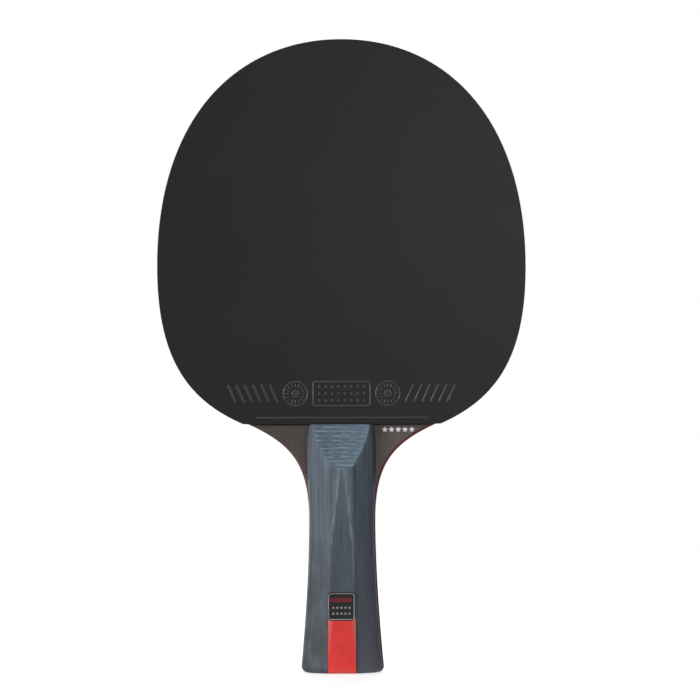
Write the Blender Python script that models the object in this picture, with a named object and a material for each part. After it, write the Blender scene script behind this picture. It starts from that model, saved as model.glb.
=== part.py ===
"""A table tennis paddle, standing on the flat butt of its flared handle.

The black rubber faces -Y and the red rubber +Y. +Z runs from the butt to the top of the head, and the
origin is the middle of the butt. Lengths are in metres.
"""

import math

import bmesh
import bpy
from mathutils import Vector
from mathutils.geometry import interpolate_bezier

# Blade outline
HANDLE_LENGTH = 0.1014
HEAD_LENGTH = 0.1561
BLADE_WIDTH = 0.1489
WIDEST_ABOVE_HANDLE = 0.0642
SHOULDER_WIDTH = 0.0798
SHOULDER_SLOPE = math.radians(23.5)
WAIST_HEIGHT = 0.0606
WAIST_WIDTH = 0.0270
BUTT_WIDTH = 0.0341
BUTT_ROUND = 0.0028
FLARE_POWER = 1.62

# How far each stretch of the outline runs on along its end tangents, as shares of its own width and height
CROWN_ACROSS = 0.578
CROWN_DOWN = 0.643
CHEEK_DOWN = 0.576
CHEEK_OUT = 0.72
SHOULDER_IN = 0.855
SHOULDER_UP = 0.566

# Blade lay-up, from the middle outwards
CORE_THICKNESS = 0.0030
INNER_PLY_THICKNESS = 0.0007
OUTER_PLY_THICKNESS = 0.0005
GLUE_LINE = 0.0001
SHOULDER_ROUND = 0.0012
ROUND_FADE = 0.006

# Rubber
SPONGE_THICKNESS = 0.0020
TOPSHEET_THICKNESS = 0.0017
RUBBER_OVERHANG = 0.0006

# Handle scales: flanks rise to two corners, with a low roof between them that a splayed flat cuts off
SCALE_TOP_WIDTH = 0.0266
SCALE_SWELL = 0.0008
SCALE_SETBACK = 0.0003
FRONT_SCALE_OFFSET = -0.0002
SCALE_END_GAP = 0.00015
CORNER_WIDTH = 0.0096
CORNER_BUTT_WIDTH = 0.0116
CORNER_HEIGHT = 0.0082
CORNER_BUTT_HEIGHT = 0.0089
CORNER_EASE = 0.0003
FLANK_SLOPE = math.radians(28)
FLANK_RISE = 0.5
FLANK_REACH = 0.7
ROOF_SLOPE = math.radians(6)
FACET_LENGTH = 0.0180
FACET_SCOOP = 0.0004
FACET_ABOVE_RUBBER = 0.0005
FLAT_NOSE_WIDTH = 0.0014
FLAT_SPLAY = math.radians(6.7)

# Red inlay at the butt
INLAY_LENGTH = 0.0231
INLAY_WIDTH = 0.0114
INLAY_DEPTH = 0.0026
INLAY_LIP = 0.00025
INLAY_RISE = 0.0001
INLAY_CHAMFER_SLOPE = math.radians(11)
INLAY_END_BEVEL = 0.0006
SEAT_GAP = 0.00015

# Badge over the upper end of the front inlay
BADGE_WIDTH = 0.0107
BADGE_HEIGHT = 0.0114
BADGE_OVERLAP = 0.0013
BADGE_OFFSET = -0.00025
BADGE_CORNER = 0.0012
BADGE_THICKNESS = 0.0009
BADGE_SEAT_DEPTH = 0.0006
BADGE_RIM = 0.0004
BADGE_RECESS = 0.0004
PANEL_THICKNESS = 0.0003
PANEL_GAP = 0.0001

# Mesh fineness
CROWN_STEPS = 20
CHEEK_STEPS = 16
SHOULDER_STEPS = 14
FLARE_STEPS = 8
ROUND_STEPS = 3
EDGE_STEPS = 2
PROFILE_STEPS = 24
SIDE_STEPS = 8
FLAT_STEPS = 16
FACET_STEPS = 10
INLAY_STEPS = 6
CORNER_STEPS = 4
SMOOTH_ANGLE = math.radians(30)

# Sides of the paddle along Y
FRONT = -1
BACK = 1

# Derived levels, measured from the middle of the blade
CORE_FACE = CORE_THICKNESS / 2
INNER_BASE = CORE_FACE + GLUE_LINE
INNER_FACE = INNER_BASE + INNER_PLY_THICKNESS
OUTER_BASE = INNER_FACE + GLUE_LINE
BLADE_FACE = OUTER_BASE + OUTER_PLY_THICKNESS
SPONGE_BASE = BLADE_FACE + GLUE_LINE
SPONGE_FACE = SPONGE_BASE + SPONGE_THICKNESS
TOPSHEET_BASE = SPONGE_FACE + GLUE_LINE
TOPSHEET_FACE = TOPSHEET_BASE + TOPSHEET_THICKNESS
SCALE_BASE = BLADE_FACE + GLUE_LINE

# Derived heights along the handle
SCALE_TOP = HANDLE_LENGTH - SCALE_END_GAP
FLAT_TOP = SCALE_TOP - FACET_LENGTH
FACET_END = TOPSHEET_FACE - SCALE_BASE + FACET_ABOVE_RUBBER


# Outlines are lists of (x, z) points down the right-hand side, from the top to the butt


def curve(start, start_reach, end_reach, end, steps):
    """Points of one Bezier stretch, both ends included."""
    handles = (start, start + start_reach, end + end_reach, end)
    flat = [Vector((point.x, point.y, 0)) for point in handles]
    return [point.xy for point in interpolate_bezier(*flat, steps + 1)]


def shoulder_point():
    """Where the head's outline turns into the shoulder, level with the rubber's lower edge."""
    height = HANDLE_LENGTH + RUBBER_OVERHANG * math.cos(SHOULDER_SLOPE)
    return Vector((SHOULDER_WIDTH / 2, height))


def head_outline():
    """The right half of the head, from its top to the shoulder."""
    top = Vector((0, HANDLE_LENGTH + HEAD_LENGTH))
    side = Vector((BLADE_WIDTH / 2, HANDLE_LENGTH + WIDEST_ABOVE_HANDLE))
    shoulder = shoulder_point()
    slope = Vector((math.cos(SHOULDER_SLOPE), math.sin(SHOULDER_SLOPE)))
    across = Vector((CROWN_ACROSS * side.x, 0))
    up = Vector((0, CROWN_DOWN * (top.y - side.y)))
    down = Vector((0, CHEEK_DOWN * (shoulder.y - side.y)))
    out = slope * CHEEK_OUT * (side.x - shoulder.x)
    crown = curve(top, across, up, side, CROWN_STEPS)
    cheek = curve(side, down, out, shoulder, CHEEK_STEPS)
    return crown + cheek[1:]


def shoulder_outline():
    """The right shoulder, from the head down to the waist of the handle."""
    shoulder = shoulder_point()
    waist = Vector((WAIST_WIDTH / 2, WAIST_HEIGHT))
    slope = Vector((math.cos(SHOULDER_SLOPE), math.sin(SHOULDER_SLOPE)))
    inward = -slope * SHOULDER_IN * (shoulder.x - waist.x)
    up = Vector((0, SHOULDER_UP * (shoulder.y - waist.y)))
    return curve(shoulder, inward, up, waist, SHOULDER_STEPS)


def butt_stations():
    """Heights of the rounded lower edge, from the butt face up."""
    angles = [math.pi / 2 * step / ROUND_STEPS for step in range(ROUND_STEPS + 1)]
    return [BUTT_ROUND * (1 - math.cos(angle)) for angle in angles]


def butt_inset(z):
    """How far the rounded lower edge draws in at height z."""
    if z >= BUTT_ROUND:
        return 0
    return BUTT_ROUND - math.sqrt(BUTT_ROUND ** 2 - (BUTT_ROUND - z) ** 2)


def flare_share(z):
    """How far down the flare a height lies: 0 from the waist up, 1 at the butt."""
    return max(WAIST_HEIGHT - z, 0) / WAIST_HEIGHT


def flared_half_width(z):
    """Half width of the tang between butt and waist, before its lower edge is rounded."""
    return WAIST_WIDTH / 2 + (BUTT_WIDTH - WAIST_WIDTH) / 2 * flare_share(z) ** FLARE_POWER


def flare_outline():
    """The right edge of the tang, from just below the waist to the butt."""
    span = WAIST_HEIGHT - BUTT_ROUND
    heights = [WAIST_HEIGHT - span * step / FLARE_STEPS for step in range(1, FLARE_STEPS)]
    heights += reversed(butt_stations())
    return [Vector((flared_half_width(z) - butt_inset(z), z)) for z in heights]


def blade_outline():
    """The right half of the whole blade."""
    return head_outline() + shoulder_outline()[1:] + flare_outline()


def normals(points):
    """Outward normals of a half outline that starts on the centre line."""
    before = [Vector((-points[1].x, points[1].y))] + points[:-1]
    after = points[1:] + [2 * points[-1] - points[-2]]
    tangents = [(b - a).normalized() for a, b in zip(before, after)]
    return [Vector((-tangent.y, tangent.x)) for tangent in tangents]


def sheet_outline():
    """The right half of a rubber sheet, which overhangs the blade and ends at the handle."""
    points = head_outline()
    return [p + RUBBER_OVERHANG * n for p, n in zip(points, normals(points))]


def smooth_step(value, low, high):
    """0 below low, 1 above high, smooth between."""
    share = min(max((value - low) / (high - low), 0), 1)
    return share * share * (3 - 2 * share)


def shoulder_share(z):
    """How much of the edge rounding applies at height z: all of it on the bare shoulders."""
    under_rubber = 1 - smooth_step(z, HANDLE_LENGTH, HANDLE_LENGTH + ROUND_FADE)
    clear_of_grip = smooth_step(z, WAIST_HEIGHT, (WAIST_HEIGHT + HANDLE_LENGTH) / 2)
    return under_rubber * clear_of_grip


def rounded_outline(level):
    """The blade's right half at a distance from its middle plane, drawn in by the rounded shoulders."""
    depth = BLADE_FACE - level
    inset = 0
    if depth < SHOULDER_ROUND:
        inset = SHOULDER_ROUND - math.sqrt(SHOULDER_ROUND ** 2 - (SHOULDER_ROUND - depth) ** 2)
    points = blade_outline()
    return [p - inset * shoulder_share(p.y) * n for p, n in zip(points, normals(points))]


# Meshes


def material(name, colour, roughness, metallic=0.0):
    """A Principled BSDF material."""
    new = bpy.data.materials.new(name)
    new.use_nodes = True
    shader = new.node_tree.nodes["Principled BSDF"]
    shader.inputs["Base Color"].default_value = (*colour, 1)
    shader.inputs["Roughness"].default_value = roughness
    shader.inputs["Metallic"].default_value = metallic
    return new


def add_object(name, bm, surface, parent):
    """Turn a bmesh into a smooth-shaded object under the paddle's empty."""
    bmesh.ops.recalc_face_normals(bm, faces=bm.faces)
    mesh = bpy.data.meshes.new(name)
    bm.to_mesh(mesh)
    bm.free()
    mesh.shade_smooth()
    mesh.set_sharp_from_angle(angle=SMOOTH_ANGLE)
    if surface:
        mesh.materials.append(surface)
    new = bpy.data.objects.new(name, mesh)
    new.parent = parent
    bpy.context.scene.collection.objects.link(new)
    return new


def add_empty(name, location, parent=None):
    """A frame that pieces hang from."""
    new = bpy.data.objects.new(name, None)
    new.location = location
    new.parent = parent
    bpy.context.scene.collection.objects.link(new)
    return new


def skin(rings):
    """A closed body through rings of points, with a flat cap on the first and the last."""
    bm = bmesh.new()
    loops = [[bm.verts.new(point) for point in ring] for ring in rings]
    count = len(rings[0])
    for lower, upper in zip(loops, loops[1:]):
        for here in range(count):
            there = (here + 1) % count
            bm.faces.new((lower[here], lower[there], upper[there], upper[here]))
    bm.faces.new(loops[0])
    bm.faces.new(loops[-1])
    return bm


def layer_ring(half, y):
    """A half outline and its mirror image as one closed ring at depth y."""
    right = [(p.x, y, p.y) for p in half]
    left = [(-p.x, y, p.y) for p in reversed(half) if p.x > 0]
    return right + left


def add_ply(name, side, levels, surface, parent):
    """A veneer of the blade through the given levels, on one side of its middle plane."""
    rings = [layer_ring(rounded_outline(level), side * level) for level in levels]
    return add_object(name, skin(rings), surface, parent)


def add_core(surface, parent):
    """The middle ply, which reaches across the blade's middle plane."""
    half = rounded_outline(CORE_FACE)
    rings = [layer_ring(half, side * CORE_FACE) for side in (FRONT, BACK)]
    return add_object("core_ply", skin(rings), surface, parent)


def add_sheet(name, side, base, face, surface, parent):
    """One layer of a rubber, cut to the blade's head."""
    half = sheet_outline()
    rings = [layer_ring(half, side * level) for level in (base, face)]
    return add_object(name, skin(rings), surface, parent)


# Handle scales: heights are measured outwards from the blade's face


def scale_half_width(z):
    """Half width of a handle scale where it meets the blade."""
    waist = WAIST_WIDTH / 2 - SCALE_SETBACK
    if z < WAIST_HEIGHT:
        return flared_half_width(z) - SCALE_SETBACK
    share = (z - WAIST_HEIGHT) / (SCALE_TOP - WAIST_HEIGHT)
    swell = SCALE_SWELL * 27 / 4 * share ** 2 * (1 - share)
    return waist + (SCALE_TOP_WIDTH / 2 - waist) * share + swell


def corner(z):
    """Where a flank meets the roof, as (distance from the centre line, height)."""
    flare = flare_share(z)
    across = CORNER_WIDTH / 2 + (CORNER_BUTT_WIDTH - CORNER_WIDTH) / 2 * flare ** FLARE_POWER
    return Vector((across, CORNER_HEIGHT + (CORNER_BUTT_HEIGHT - CORNER_HEIGHT) * flare ** 2))


def crown_height(x, z):
    """Height of the uncut roof, or of the straight part of the flank, at a distance x from the centre line."""
    edge = corner(z)
    slope = ROOF_SLOPE if x < edge.x else FLANK_SLOPE
    return edge.y + (edge.x - x) * math.tan(slope)


def flat_half_width(z):
    """Half width of the flat, which splays from a narrow nose to just inside the corners."""
    splayed = FLAT_NOSE_WIDTH / 2 + max(FLAT_TOP - z, 0) * math.tan(FLAT_SPLAY)
    return min(splayed, corner(z).x - CORNER_EASE)


def flat_height(z):
    """Height of the flat."""
    return crown_height(flat_half_width(z), z)


def cut_height(z):
    """Height that the flat or, above its nose, the scooped facet leaves of the scale."""
    if z <= FLAT_TOP:
        return flat_height(z)
    share = (SCALE_TOP - z) / FACET_LENGTH
    line = FACET_END + (flat_height(FLAT_TOP) - FACET_END) * share
    return line - 4 * FACET_SCOOP * share * (1 - share)


def surface_height(x, z):
    """Height of the finished scale at a distance x from its centre line."""
    return min(crown_height(x, z), cut_height(z))


def flank(z):
    """Points (x, height) of the uncut right flank, from the blade up to the corner."""
    inset = butt_inset(z)
    base = Vector((scale_half_width(z) - inset, 0))
    edge = corner(z) - Vector((0, inset))
    rise = Vector((0, FLANK_RISE * edge.y))
    slope = Vector((math.cos(FLANK_SLOPE), -math.sin(FLANK_SLOPE)))
    return curve(base, rise, slope * FLANK_REACH * (base.x - edge.x), edge, PROFILE_STEPS)


def part_below(points, height):
    """The first part of a rising line of points, up to a height."""
    kept = [point for point in points if point.y < height]
    if len(kept) < len(points):
        low, high = points[len(kept) - 1], points[len(kept)]
        kept.append(low.lerp(high, (height - low.y) / (high.y - low.y)))
    return kept


def evenly_spaced(points, steps):
    """A line of points taken again at even steps along its length."""
    lengths = [0]
    for here, there in zip(points, points[1:]):
        lengths.append(lengths[-1] + (there - here).length)
    line = [points[0]]
    for step in range(1, steps):
        goal = lengths[-1] * step / steps
        after = next(place for place, length in enumerate(lengths) if length > goal)
        share = (goal - lengths[after - 1]) / (lengths[after] - lengths[after - 1])
        line.append(points[after - 1].lerp(points[after], share))
    return line + [points[-1]]


def scale_section(z):
    """Points (x, height) of the scale's cross-section, from its right base over the top to its left."""
    level = cut_height(z) - butt_inset(z)
    right = evenly_spaced(part_below(flank(z), level), SIDE_STEPS)
    edge = right[-1]
    right.append(Vector((edge.x - max(CORNER_EASE, (level - edge.y) / math.tan(ROOF_SLOPE)), level)))
    left = [Vector((-point.x, point.y)) for point in reversed(right)]
    return right + left


def scale_stations():
    """Heights of the scale's cross-sections, closer together towards the nose of the flat."""
    heights = butt_stations()
    for step in range(1, FLAT_STEPS + 1):
        share = 1 - (1 - step / FLAT_STEPS) ** 2
        heights.append(BUTT_ROUND + (FLAT_TOP - BUTT_ROUND) * share)
    for step in range(1, FACET_STEPS + 1):
        share = (step / FACET_STEPS) ** 2
        heights.append(FLAT_TOP + FACET_LENGTH * share)
    return heights


def add_scale(name, side, surface, parent):
    """One half of the handle, glued to one face of the tang."""
    rings = []
    for z in scale_stations():
        section = scale_section(z)
        rings.append([(x, side * (SCALE_BASE + height), z) for x, height in section])
    return add_object(name, skin(rings), surface, parent)


def seat_floor():
    """Height of the flat bottom of the inlay's groove."""
    return flat_height(INLAY_LENGTH) - INLAY_DEPTH


def block(low, high):
    """A box between two corners."""
    x0, y0, z0 = low
    x1, y1, z1 = high
    rings = [[(x0, y0, z), (x1, y0, z), (x1, y1, z), (x0, y1, z)] for z in (z0, z1)]
    return skin(rings)


def cut(target, cutter):
    """Take a wire-drawn cutter's volume out of a target."""
    cutter.display_type = "WIRE"
    cutter.hide_render = True
    modifier = target.modifiers.new(cutter.name, "BOOLEAN")
    modifier.operation = "DIFFERENCE"
    modifier.object = cutter


def cut_inlay_seat(scale, side, parent):
    """Groove for the inlay, open at the butt."""
    half = INLAY_WIDTH / 2 + SEAT_GAP
    floor = side * (SCALE_BASE + seat_floor())
    clear = side * (SCALE_BASE + 2 * CORNER_BUTT_HEIGHT)
    low = (-half, floor, -INLAY_LENGTH)
    high = (half, clear, INLAY_LENGTH + SEAT_GAP)
    cutter = add_object(scale.name + "_inlay_seat", block(low, high), None, parent)
    cut(scale, cutter)


def inlay_section(z):
    """Points (x, height) of the inlay: a low lip at its edges, chamfered up to a flat top."""
    inset = butt_inset(z)
    half = INLAY_WIDTH / 2
    floor = seat_floor() + SEAT_GAP
    edge = surface_height(half, z) + INLAY_LIP
    top = flat_height(z) + INLAY_LIP + INLAY_RISE * z / INLAY_LENGTH
    land = half - (top - edge) / math.tan(INLAY_CHAMFER_SLOPE)
    bevel = max(z - (INLAY_LENGTH - INLAY_END_BEVEL), 0) / 2
    edge -= inset + bevel
    top -= inset + bevel
    right = [(half, floor), (half, edge), (min(land, half - SEAT_GAP), top)]
    left = [(-x, height) for x, height in reversed(right)]
    return right + left


def add_inlay(name, side, surface, parent):
    """The red strip in the groove of a scale."""
    body = INLAY_LENGTH - INLAY_END_BEVEL - BUTT_ROUND
    heights = butt_stations()
    heights += [BUTT_ROUND + body * step / INLAY_STEPS for step in range(1, INLAY_STEPS + 1)]
    heights.append(INLAY_LENGTH)
    rings = []
    for z in heights:
        rings.append([(x, side * (SCALE_BASE + height), z) for x, height in inlay_section(z)])
    return add_object(name, skin(rings), surface, parent)


# Badge: built flat on the XZ plane with its face towards -Y, then laid on the front scale's flat


def rounded_rectangle(width, height, radius):
    """Points (x, z) round a rectangle with arcs at its corners."""
    points = []
    for quarter, (sx, sz) in enumerate(((1, 1), (-1, 1), (-1, -1), (1, -1))):
        centre = Vector((sx * (width / 2 - radius), sz * (height / 2 - radius)))
        for step in range(CORNER_STEPS + 1):
            angle = math.pi / 2 * (quarter + step / CORNER_STEPS)
            points.append(centre + radius * Vector((math.cos(angle), math.sin(angle))))
    return points


def badge_ring(inset, level):
    """The badge's outline drawn in by inset, at a level above the flat."""
    width = BADGE_WIDTH - 2 * inset
    height = BADGE_HEIGHT - 2 * inset
    points = rounded_rectangle(width, height, max(BADGE_CORNER - inset, PANEL_GAP))
    return [(p.x, -level, p.y) for p in points]


def add_badge_frame(parent):
    """An empty in the middle of the badge, tilted to the flat of the front scale."""
    low = INLAY_LENGTH - BADGE_OVERLAP
    high = low + BADGE_HEIGHT
    middle = (low + high) / 2
    level = (flat_height(low) + flat_height(high)) / 2
    frame = add_empty("badge", (BADGE_OFFSET, FRONT * (SCALE_BASE + level), middle), parent)
    frame.rotation_euler.x = math.atan2(flat_height(high) - flat_height(low), BADGE_HEIGHT)
    return frame


def cut_badge_seat(target, frame):
    """Shallow pocket for the badge."""
    outline = [badge_ring(-SEAT_GAP, level) for level in (-BADGE_SEAT_DEPTH, BADGE_THICKNESS)]
    cutter = add_object(target.name + "_badge_seat", skin(outline), None, frame)
    cut(target, cutter)


def add_badge_plate(surface, frame):
    """A metal tray whose raised rim frames the panel."""
    base = SEAT_GAP - BADGE_SEAT_DEPTH
    face = base + BADGE_THICKNESS
    rings = [
        badge_ring(0, base),
        badge_ring(0, face),
        badge_ring(BADGE_RIM, face),
        badge_ring(BADGE_RIM, face - BADGE_RECESS),
    ]
    return add_object("badge_plate", skin(rings), surface, frame)


def add_badge_panel(surface, frame):
    """The dark panel inside the rim."""
    floor = SEAT_GAP - BADGE_SEAT_DEPTH + BADGE_THICKNESS - BADGE_RECESS + PANEL_GAP
    inset = BADGE_RIM + PANEL_GAP
    rings = [badge_ring(inset, floor), badge_ring(inset, floor + PANEL_THICKNESS)]
    return add_object("badge_panel", skin(rings), surface, frame)


def add_blade(parent):
    """Five plies, the outer ones stained dark."""
    pale = material("core_wood", (0.62, 0.47, 0.30), 0.6)
    add_core(pale, parent)
    cross = material("cross_veneer", (0.42, 0.27, 0.15), 0.6)
    stained = material("stained_veneer", (0.075, 0.055, 0.048), 0.45)
    span = BLADE_FACE - OUTER_BASE
    outer_levels = [OUTER_BASE + span * step / EDGE_STEPS for step in range(EDGE_STEPS + 1)]
    for word, side in (("front", FRONT), ("back", BACK)):
        add_ply(word + "_inner_ply", side, (INNER_BASE, INNER_FACE), cross, parent)
        add_ply(word + "_outer_ply", side, outer_levels, stained, parent)


def add_rubbers(parent):
    """Sponge and topsheet on each face, black in front and red behind."""
    foam = material("sponge", (0.05, 0.05, 0.055), 0.9)
    black = material("black_rubber", (0.028, 0.027, 0.028), 0.5)
    red = material("red_rubber", (0.50, 0.03, 0.03), 0.5)
    for word, side, sheet in (("front", FRONT, black), ("back", BACK, red)):
        add_sheet(word + "_sponge", side, SPONGE_BASE, SPONGE_FACE, foam, parent)
        add_sheet(word + "_topsheet", side, TOPSHEET_BASE, TOPSHEET_FACE, sheet, parent)


def add_handle(parent):
    """Two scales with their inlays, and the badge on the front one."""
    wood = material("blue_grey_wood", (0.11, 0.14, 0.17), 0.5)
    lacquer = material("red_lacquer", (0.60, 0.04, 0.04), 0.25)
    silver = material("badge_aluminium", (0.75, 0.75, 0.77), 0.3, 1.0)
    black = material("badge_print", (0.025, 0.022, 0.022), 0.3)
    front = add_empty("front_handle", (FRONT_SCALE_OFFSET, 0, 0), parent)
    back = add_empty("back_handle", (0, 0, 0), parent)
    for word, side, half in (("front", FRONT, front), ("back", BACK, back)):
        scale = add_scale(word + "_handle_scale", side, wood, half)
        cut_inlay_seat(scale, side, half)
        inlay = add_inlay(word + "_handle_inlay", side, lacquer, half)
        if side == FRONT:
            frame = add_badge_frame(half)
            cut_badge_seat(scale, frame)
            cut_badge_seat(inlay, frame)
            add_badge_plate(silver, frame)
            add_badge_panel(black, frame)


def main():
    """Build the paddle in an emptied scene."""
    for old in list(bpy.data.objects):
        bpy.data.objects.remove(old)
    paddle = add_empty("paddle", (0, 0, 0))
    add_blade(paddle)
    add_rubbers(paddle)
    add_handle(paddle)


main()
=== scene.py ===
"""The looks of a table tennis paddle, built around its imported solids.

The black rubber faces -Y and the red rubber +Y. +Z runs from the butt to the top of the head.
Lengths are in metres, apart from the sizes of patterns, which are in millimetres.
"""

import logging
import math
from collections.abc import Callable, Sequence
from dataclasses import dataclass, field
from enum import Enum
from functools import cache

import bmesh
import bpy
import numpy as np
from mathutils import Matrix, Vector
from mathutils.geometry import interpolate_bezier


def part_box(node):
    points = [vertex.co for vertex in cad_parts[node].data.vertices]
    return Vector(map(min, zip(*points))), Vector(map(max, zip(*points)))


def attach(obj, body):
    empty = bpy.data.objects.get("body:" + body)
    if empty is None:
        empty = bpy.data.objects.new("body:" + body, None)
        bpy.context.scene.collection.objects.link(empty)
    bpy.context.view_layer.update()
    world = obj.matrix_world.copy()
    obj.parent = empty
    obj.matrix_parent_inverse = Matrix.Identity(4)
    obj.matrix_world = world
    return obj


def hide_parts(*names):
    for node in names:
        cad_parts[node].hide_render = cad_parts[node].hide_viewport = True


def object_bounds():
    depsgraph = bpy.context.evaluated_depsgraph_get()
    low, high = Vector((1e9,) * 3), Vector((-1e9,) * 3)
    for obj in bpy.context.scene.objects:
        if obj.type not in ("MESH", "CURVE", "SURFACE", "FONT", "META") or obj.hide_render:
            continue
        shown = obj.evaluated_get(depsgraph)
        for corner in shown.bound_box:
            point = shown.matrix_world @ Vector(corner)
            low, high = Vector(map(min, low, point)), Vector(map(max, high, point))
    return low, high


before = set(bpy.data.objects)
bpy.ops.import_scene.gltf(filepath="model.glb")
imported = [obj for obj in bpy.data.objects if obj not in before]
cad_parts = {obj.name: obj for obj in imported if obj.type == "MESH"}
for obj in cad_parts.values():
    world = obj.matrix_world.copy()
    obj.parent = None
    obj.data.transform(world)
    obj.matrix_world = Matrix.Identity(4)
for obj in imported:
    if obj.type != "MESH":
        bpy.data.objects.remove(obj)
CAD_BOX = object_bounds()

LOG = logging.getLogger("paddle")
BODY = "root"
MILLIMETRES = 1000.0
GLUE_LINE = 0.0001
SMOOTH_ANGLE = math.radians(32)
WHITE = "#ffffff"
STAR_POINTS = 5
PIMPLE_SIDES = 8
ON_FACE = 1e-5

Node = bpy.types.Node
Socket = bpy.types.NodeSocket
Tree = bpy.types.NodeTree
Mesh = bpy.types.Mesh
Material = bpy.types.Material
Inputs = dict[str, object] | Sequence[object]
Pair = tuple[float, float]
Triple = tuple[float, float, float]
# The limits that a value comes from, and those that it goes to
Ramp = tuple[float, float, float, float]

# Where most and where nearly all of a noise's values lie
NOISE_MIDDLE: Pair = (0.35, 0.65)
NOISE_SPAN: Pair = (0.3, 0.7)


class Side(Enum):
    """One of the paddle's two faces, by the direction along Y that it looks in."""

    FRONT = -1
    BACK = 1

    @property
    def word(self) -> str:
        """The side's name as the solids use it."""
        return self.name.lower()

    def place(self) -> Matrix:
        """Frame of this face.

        Returns:
            A matrix with x to the face's right, y up the paddle and z away from the middle plane.
        """
        upright = Matrix.Rotation(math.pi / 2, 4, "X")
        if self is Side.FRONT:
            return upright
        return Matrix.Rotation(math.pi, 4, "Z") @ upright


class Kind(Enum):
    """The kinds of node in use, each as a node type and its fixed settings."""

    AIM = "FunctionNodeAlignRotationToVector", {"axis": "X"}
    ATTRIBUTE = "ShaderNodeAttribute", {}
    BACKGROUND = "ShaderNodeBackground", {}
    BLEND = "ShaderNodeMix", {"data_type": "RGBA"}
    BOTH = "FunctionNodeBooleanMath", {"operation": "AND"}
    BUMP = "ShaderNodeBump", {}
    CELLS = "ShaderNodeTexVoronoi", {}
    CIRCLE = "GeometryNodeMeshCircle", {}
    COLOUR_PARTS = "ShaderNodeSeparateColor", {}
    COMPARE = "FunctionNodeCompare", {}
    CONE = "GeometryNodeMeshCone", {}
    COORDINATES = "ShaderNodeTexCoord", {}
    COPIES = "GeometryNodeInstanceOnPoints", {}
    DIFFERENCE = "ShaderNodeMath", {"operation": "SUBTRACT"}
    DISTANCE = "GeometryNodeProximity", {}
    GRID = "GeometryNodeMeshGrid", {}
    GROUP_INPUT = "NodeGroupInput", {}
    GROUP_OUTPUT = "NodeGroupOutput", {}
    JOIN = "GeometryNodeJoinGeometry", {}
    LAYERS = "ShaderNodeTexNoise", {"noise_dimensions": "1D"}
    LENGTH = "ShaderNodeVectorMath", {"operation": "LENGTH"}
    LIGHT_PATH = "ShaderNodeLightPath", {}
    MATERIAL_OUTPUT = "ShaderNodeOutputMaterial", {}
    MIX = "ShaderNodeMix", {}
    MIX_SHADER = "ShaderNodeMixShader", {}
    MOVE = "GeometryNodeTransform", {}
    NOISE = "ShaderNodeTexNoise", {}
    PLACE_PARTS = "ShaderNodeSeparateXYZ", {}
    POSITION = "GeometryNodeInputPosition", {}
    PRINCIPLED = "ShaderNodeBsdfPrincipled", {}
    PRODUCT = "ShaderNodeMath", {"operation": "MULTIPLY"}
    RAMP = "ShaderNodeMapRange", {"interpolation_type": "SMOOTHSTEP"}
    REALIZE = "GeometryNodeRealizeInstances", {}
    SCALED_SUM = "ShaderNodeMath", {"operation": "MULTIPLY_ADD"}
    SET_MATERIAL = "GeometryNodeSetMaterial", {}
    STRETCH = "ShaderNodeMapping", {}
    SUM = "ShaderNodeMath", {"operation": "ADD"}
    SWING = "ShaderNodeMath", {"operation": "PINGPONG"}
    VECTOR_SUM = "ShaderNodeVectorMath", {"operation": "ADD"}
    WORLD_OUTPUT = "ShaderNodeOutputWorld", {}


# Nodes and meshes


def linear(colour: str) -> tuple[float, float, float, float]:
    """Turn a colour to linear light.

    Args:
        colour: An sRGB hex value.

    Returns:
        Its red, green and blue in linear light, and an alpha of 1.
    """
    shares = [int(colour[at:at + 2], 16) / 255 for at in (1, 3, 5)]
    light = [s / 12.92 if s <= 0.04045 else ((s + 0.055) / 1.055) ** 2.4 for s in shares]
    return (*light, 1.0)


def per(*lengths: float) -> tuple[float, ...]:
    """Scale of a pattern whose repeats have these lengths in millimetres along x, y and z."""
    return tuple(MILLIMETRES / length for length in lengths)


def add_node(tree: Tree, kind: Kind, inputs: Inputs = (), **settings: object) -> Node:
    """Add a node with its settings and its links.

    Args:
        tree: The node tree that gets the node.
        kind: The kind of node.
        inputs: Values, sockets or nodes, by the input's name or in the order of the inputs in use.
        **settings: Further properties of the node.

    Returns:
        The new node.
    """
    node_type, fixed = kind.value
    made = tree.nodes.new(node_type)
    for name, value in {**fixed, **settings}.items():
        setattr(made, name, value)
    used = [socket for socket in made.inputs if socket.enabled]
    names = [socket.name for socket in used]
    for key, value in inputs.items() if isinstance(inputs, dict) else enumerate(inputs):
        target = used[names.index(key) if isinstance(key, str) else key]
        if isinstance(value, Node):
            value = next(socket for socket in value.outputs if socket.enabled)
        if isinstance(value, Socket):
            tree.links.new(value, target)
        else:
            target.default_value = value
    return made


def loft(rings: Sequence[np.ndarray], around: bool = False) -> Mesh:
    """Close a body over a row of rings that have as many points each.

    Args:
        rings: Arrays of points, (count, 3).
        around: Join the last ring to the first instead of capping both.

    Returns:
        A mesh whose vertices keep the rings' order, with its faces pointing outwards.
    """
    count = len(rings[0])
    points = np.concatenate(rings)
    here = np.arange(count)
    there = (here + 1) % count
    rows = len(rings) if around else len(rings) - 1
    faces: list[list[int]] = []
    for row in range(rows):
        low, high = row * count, (row + 1) % len(rings) * count
        faces += np.stack((low + here, low + there, high + there, high + here), axis=1).tolist()
    if not around:
        faces.append(here.tolist())
        faces.append((len(points) - count + here).tolist())
    mesh = bpy.data.meshes.new("loft")
    mesh.from_pydata(points.tolist(), [], faces)
    face_outwards(mesh)
    return mesh


def plate(name: str, ring: np.ndarray, level: float) -> Mesh:
    """A mesh of one flat face.

    Args:
        name: The mesh's name.
        ring: The face's outline.
        level: Its place along the third axis.

    Returns:
        The mesh.
    """
    mesh = bpy.data.meshes.new(name)
    mesh.from_pydata(raised(ring, level).tolist(), [], [list(range(len(ring)))])
    return mesh


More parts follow.
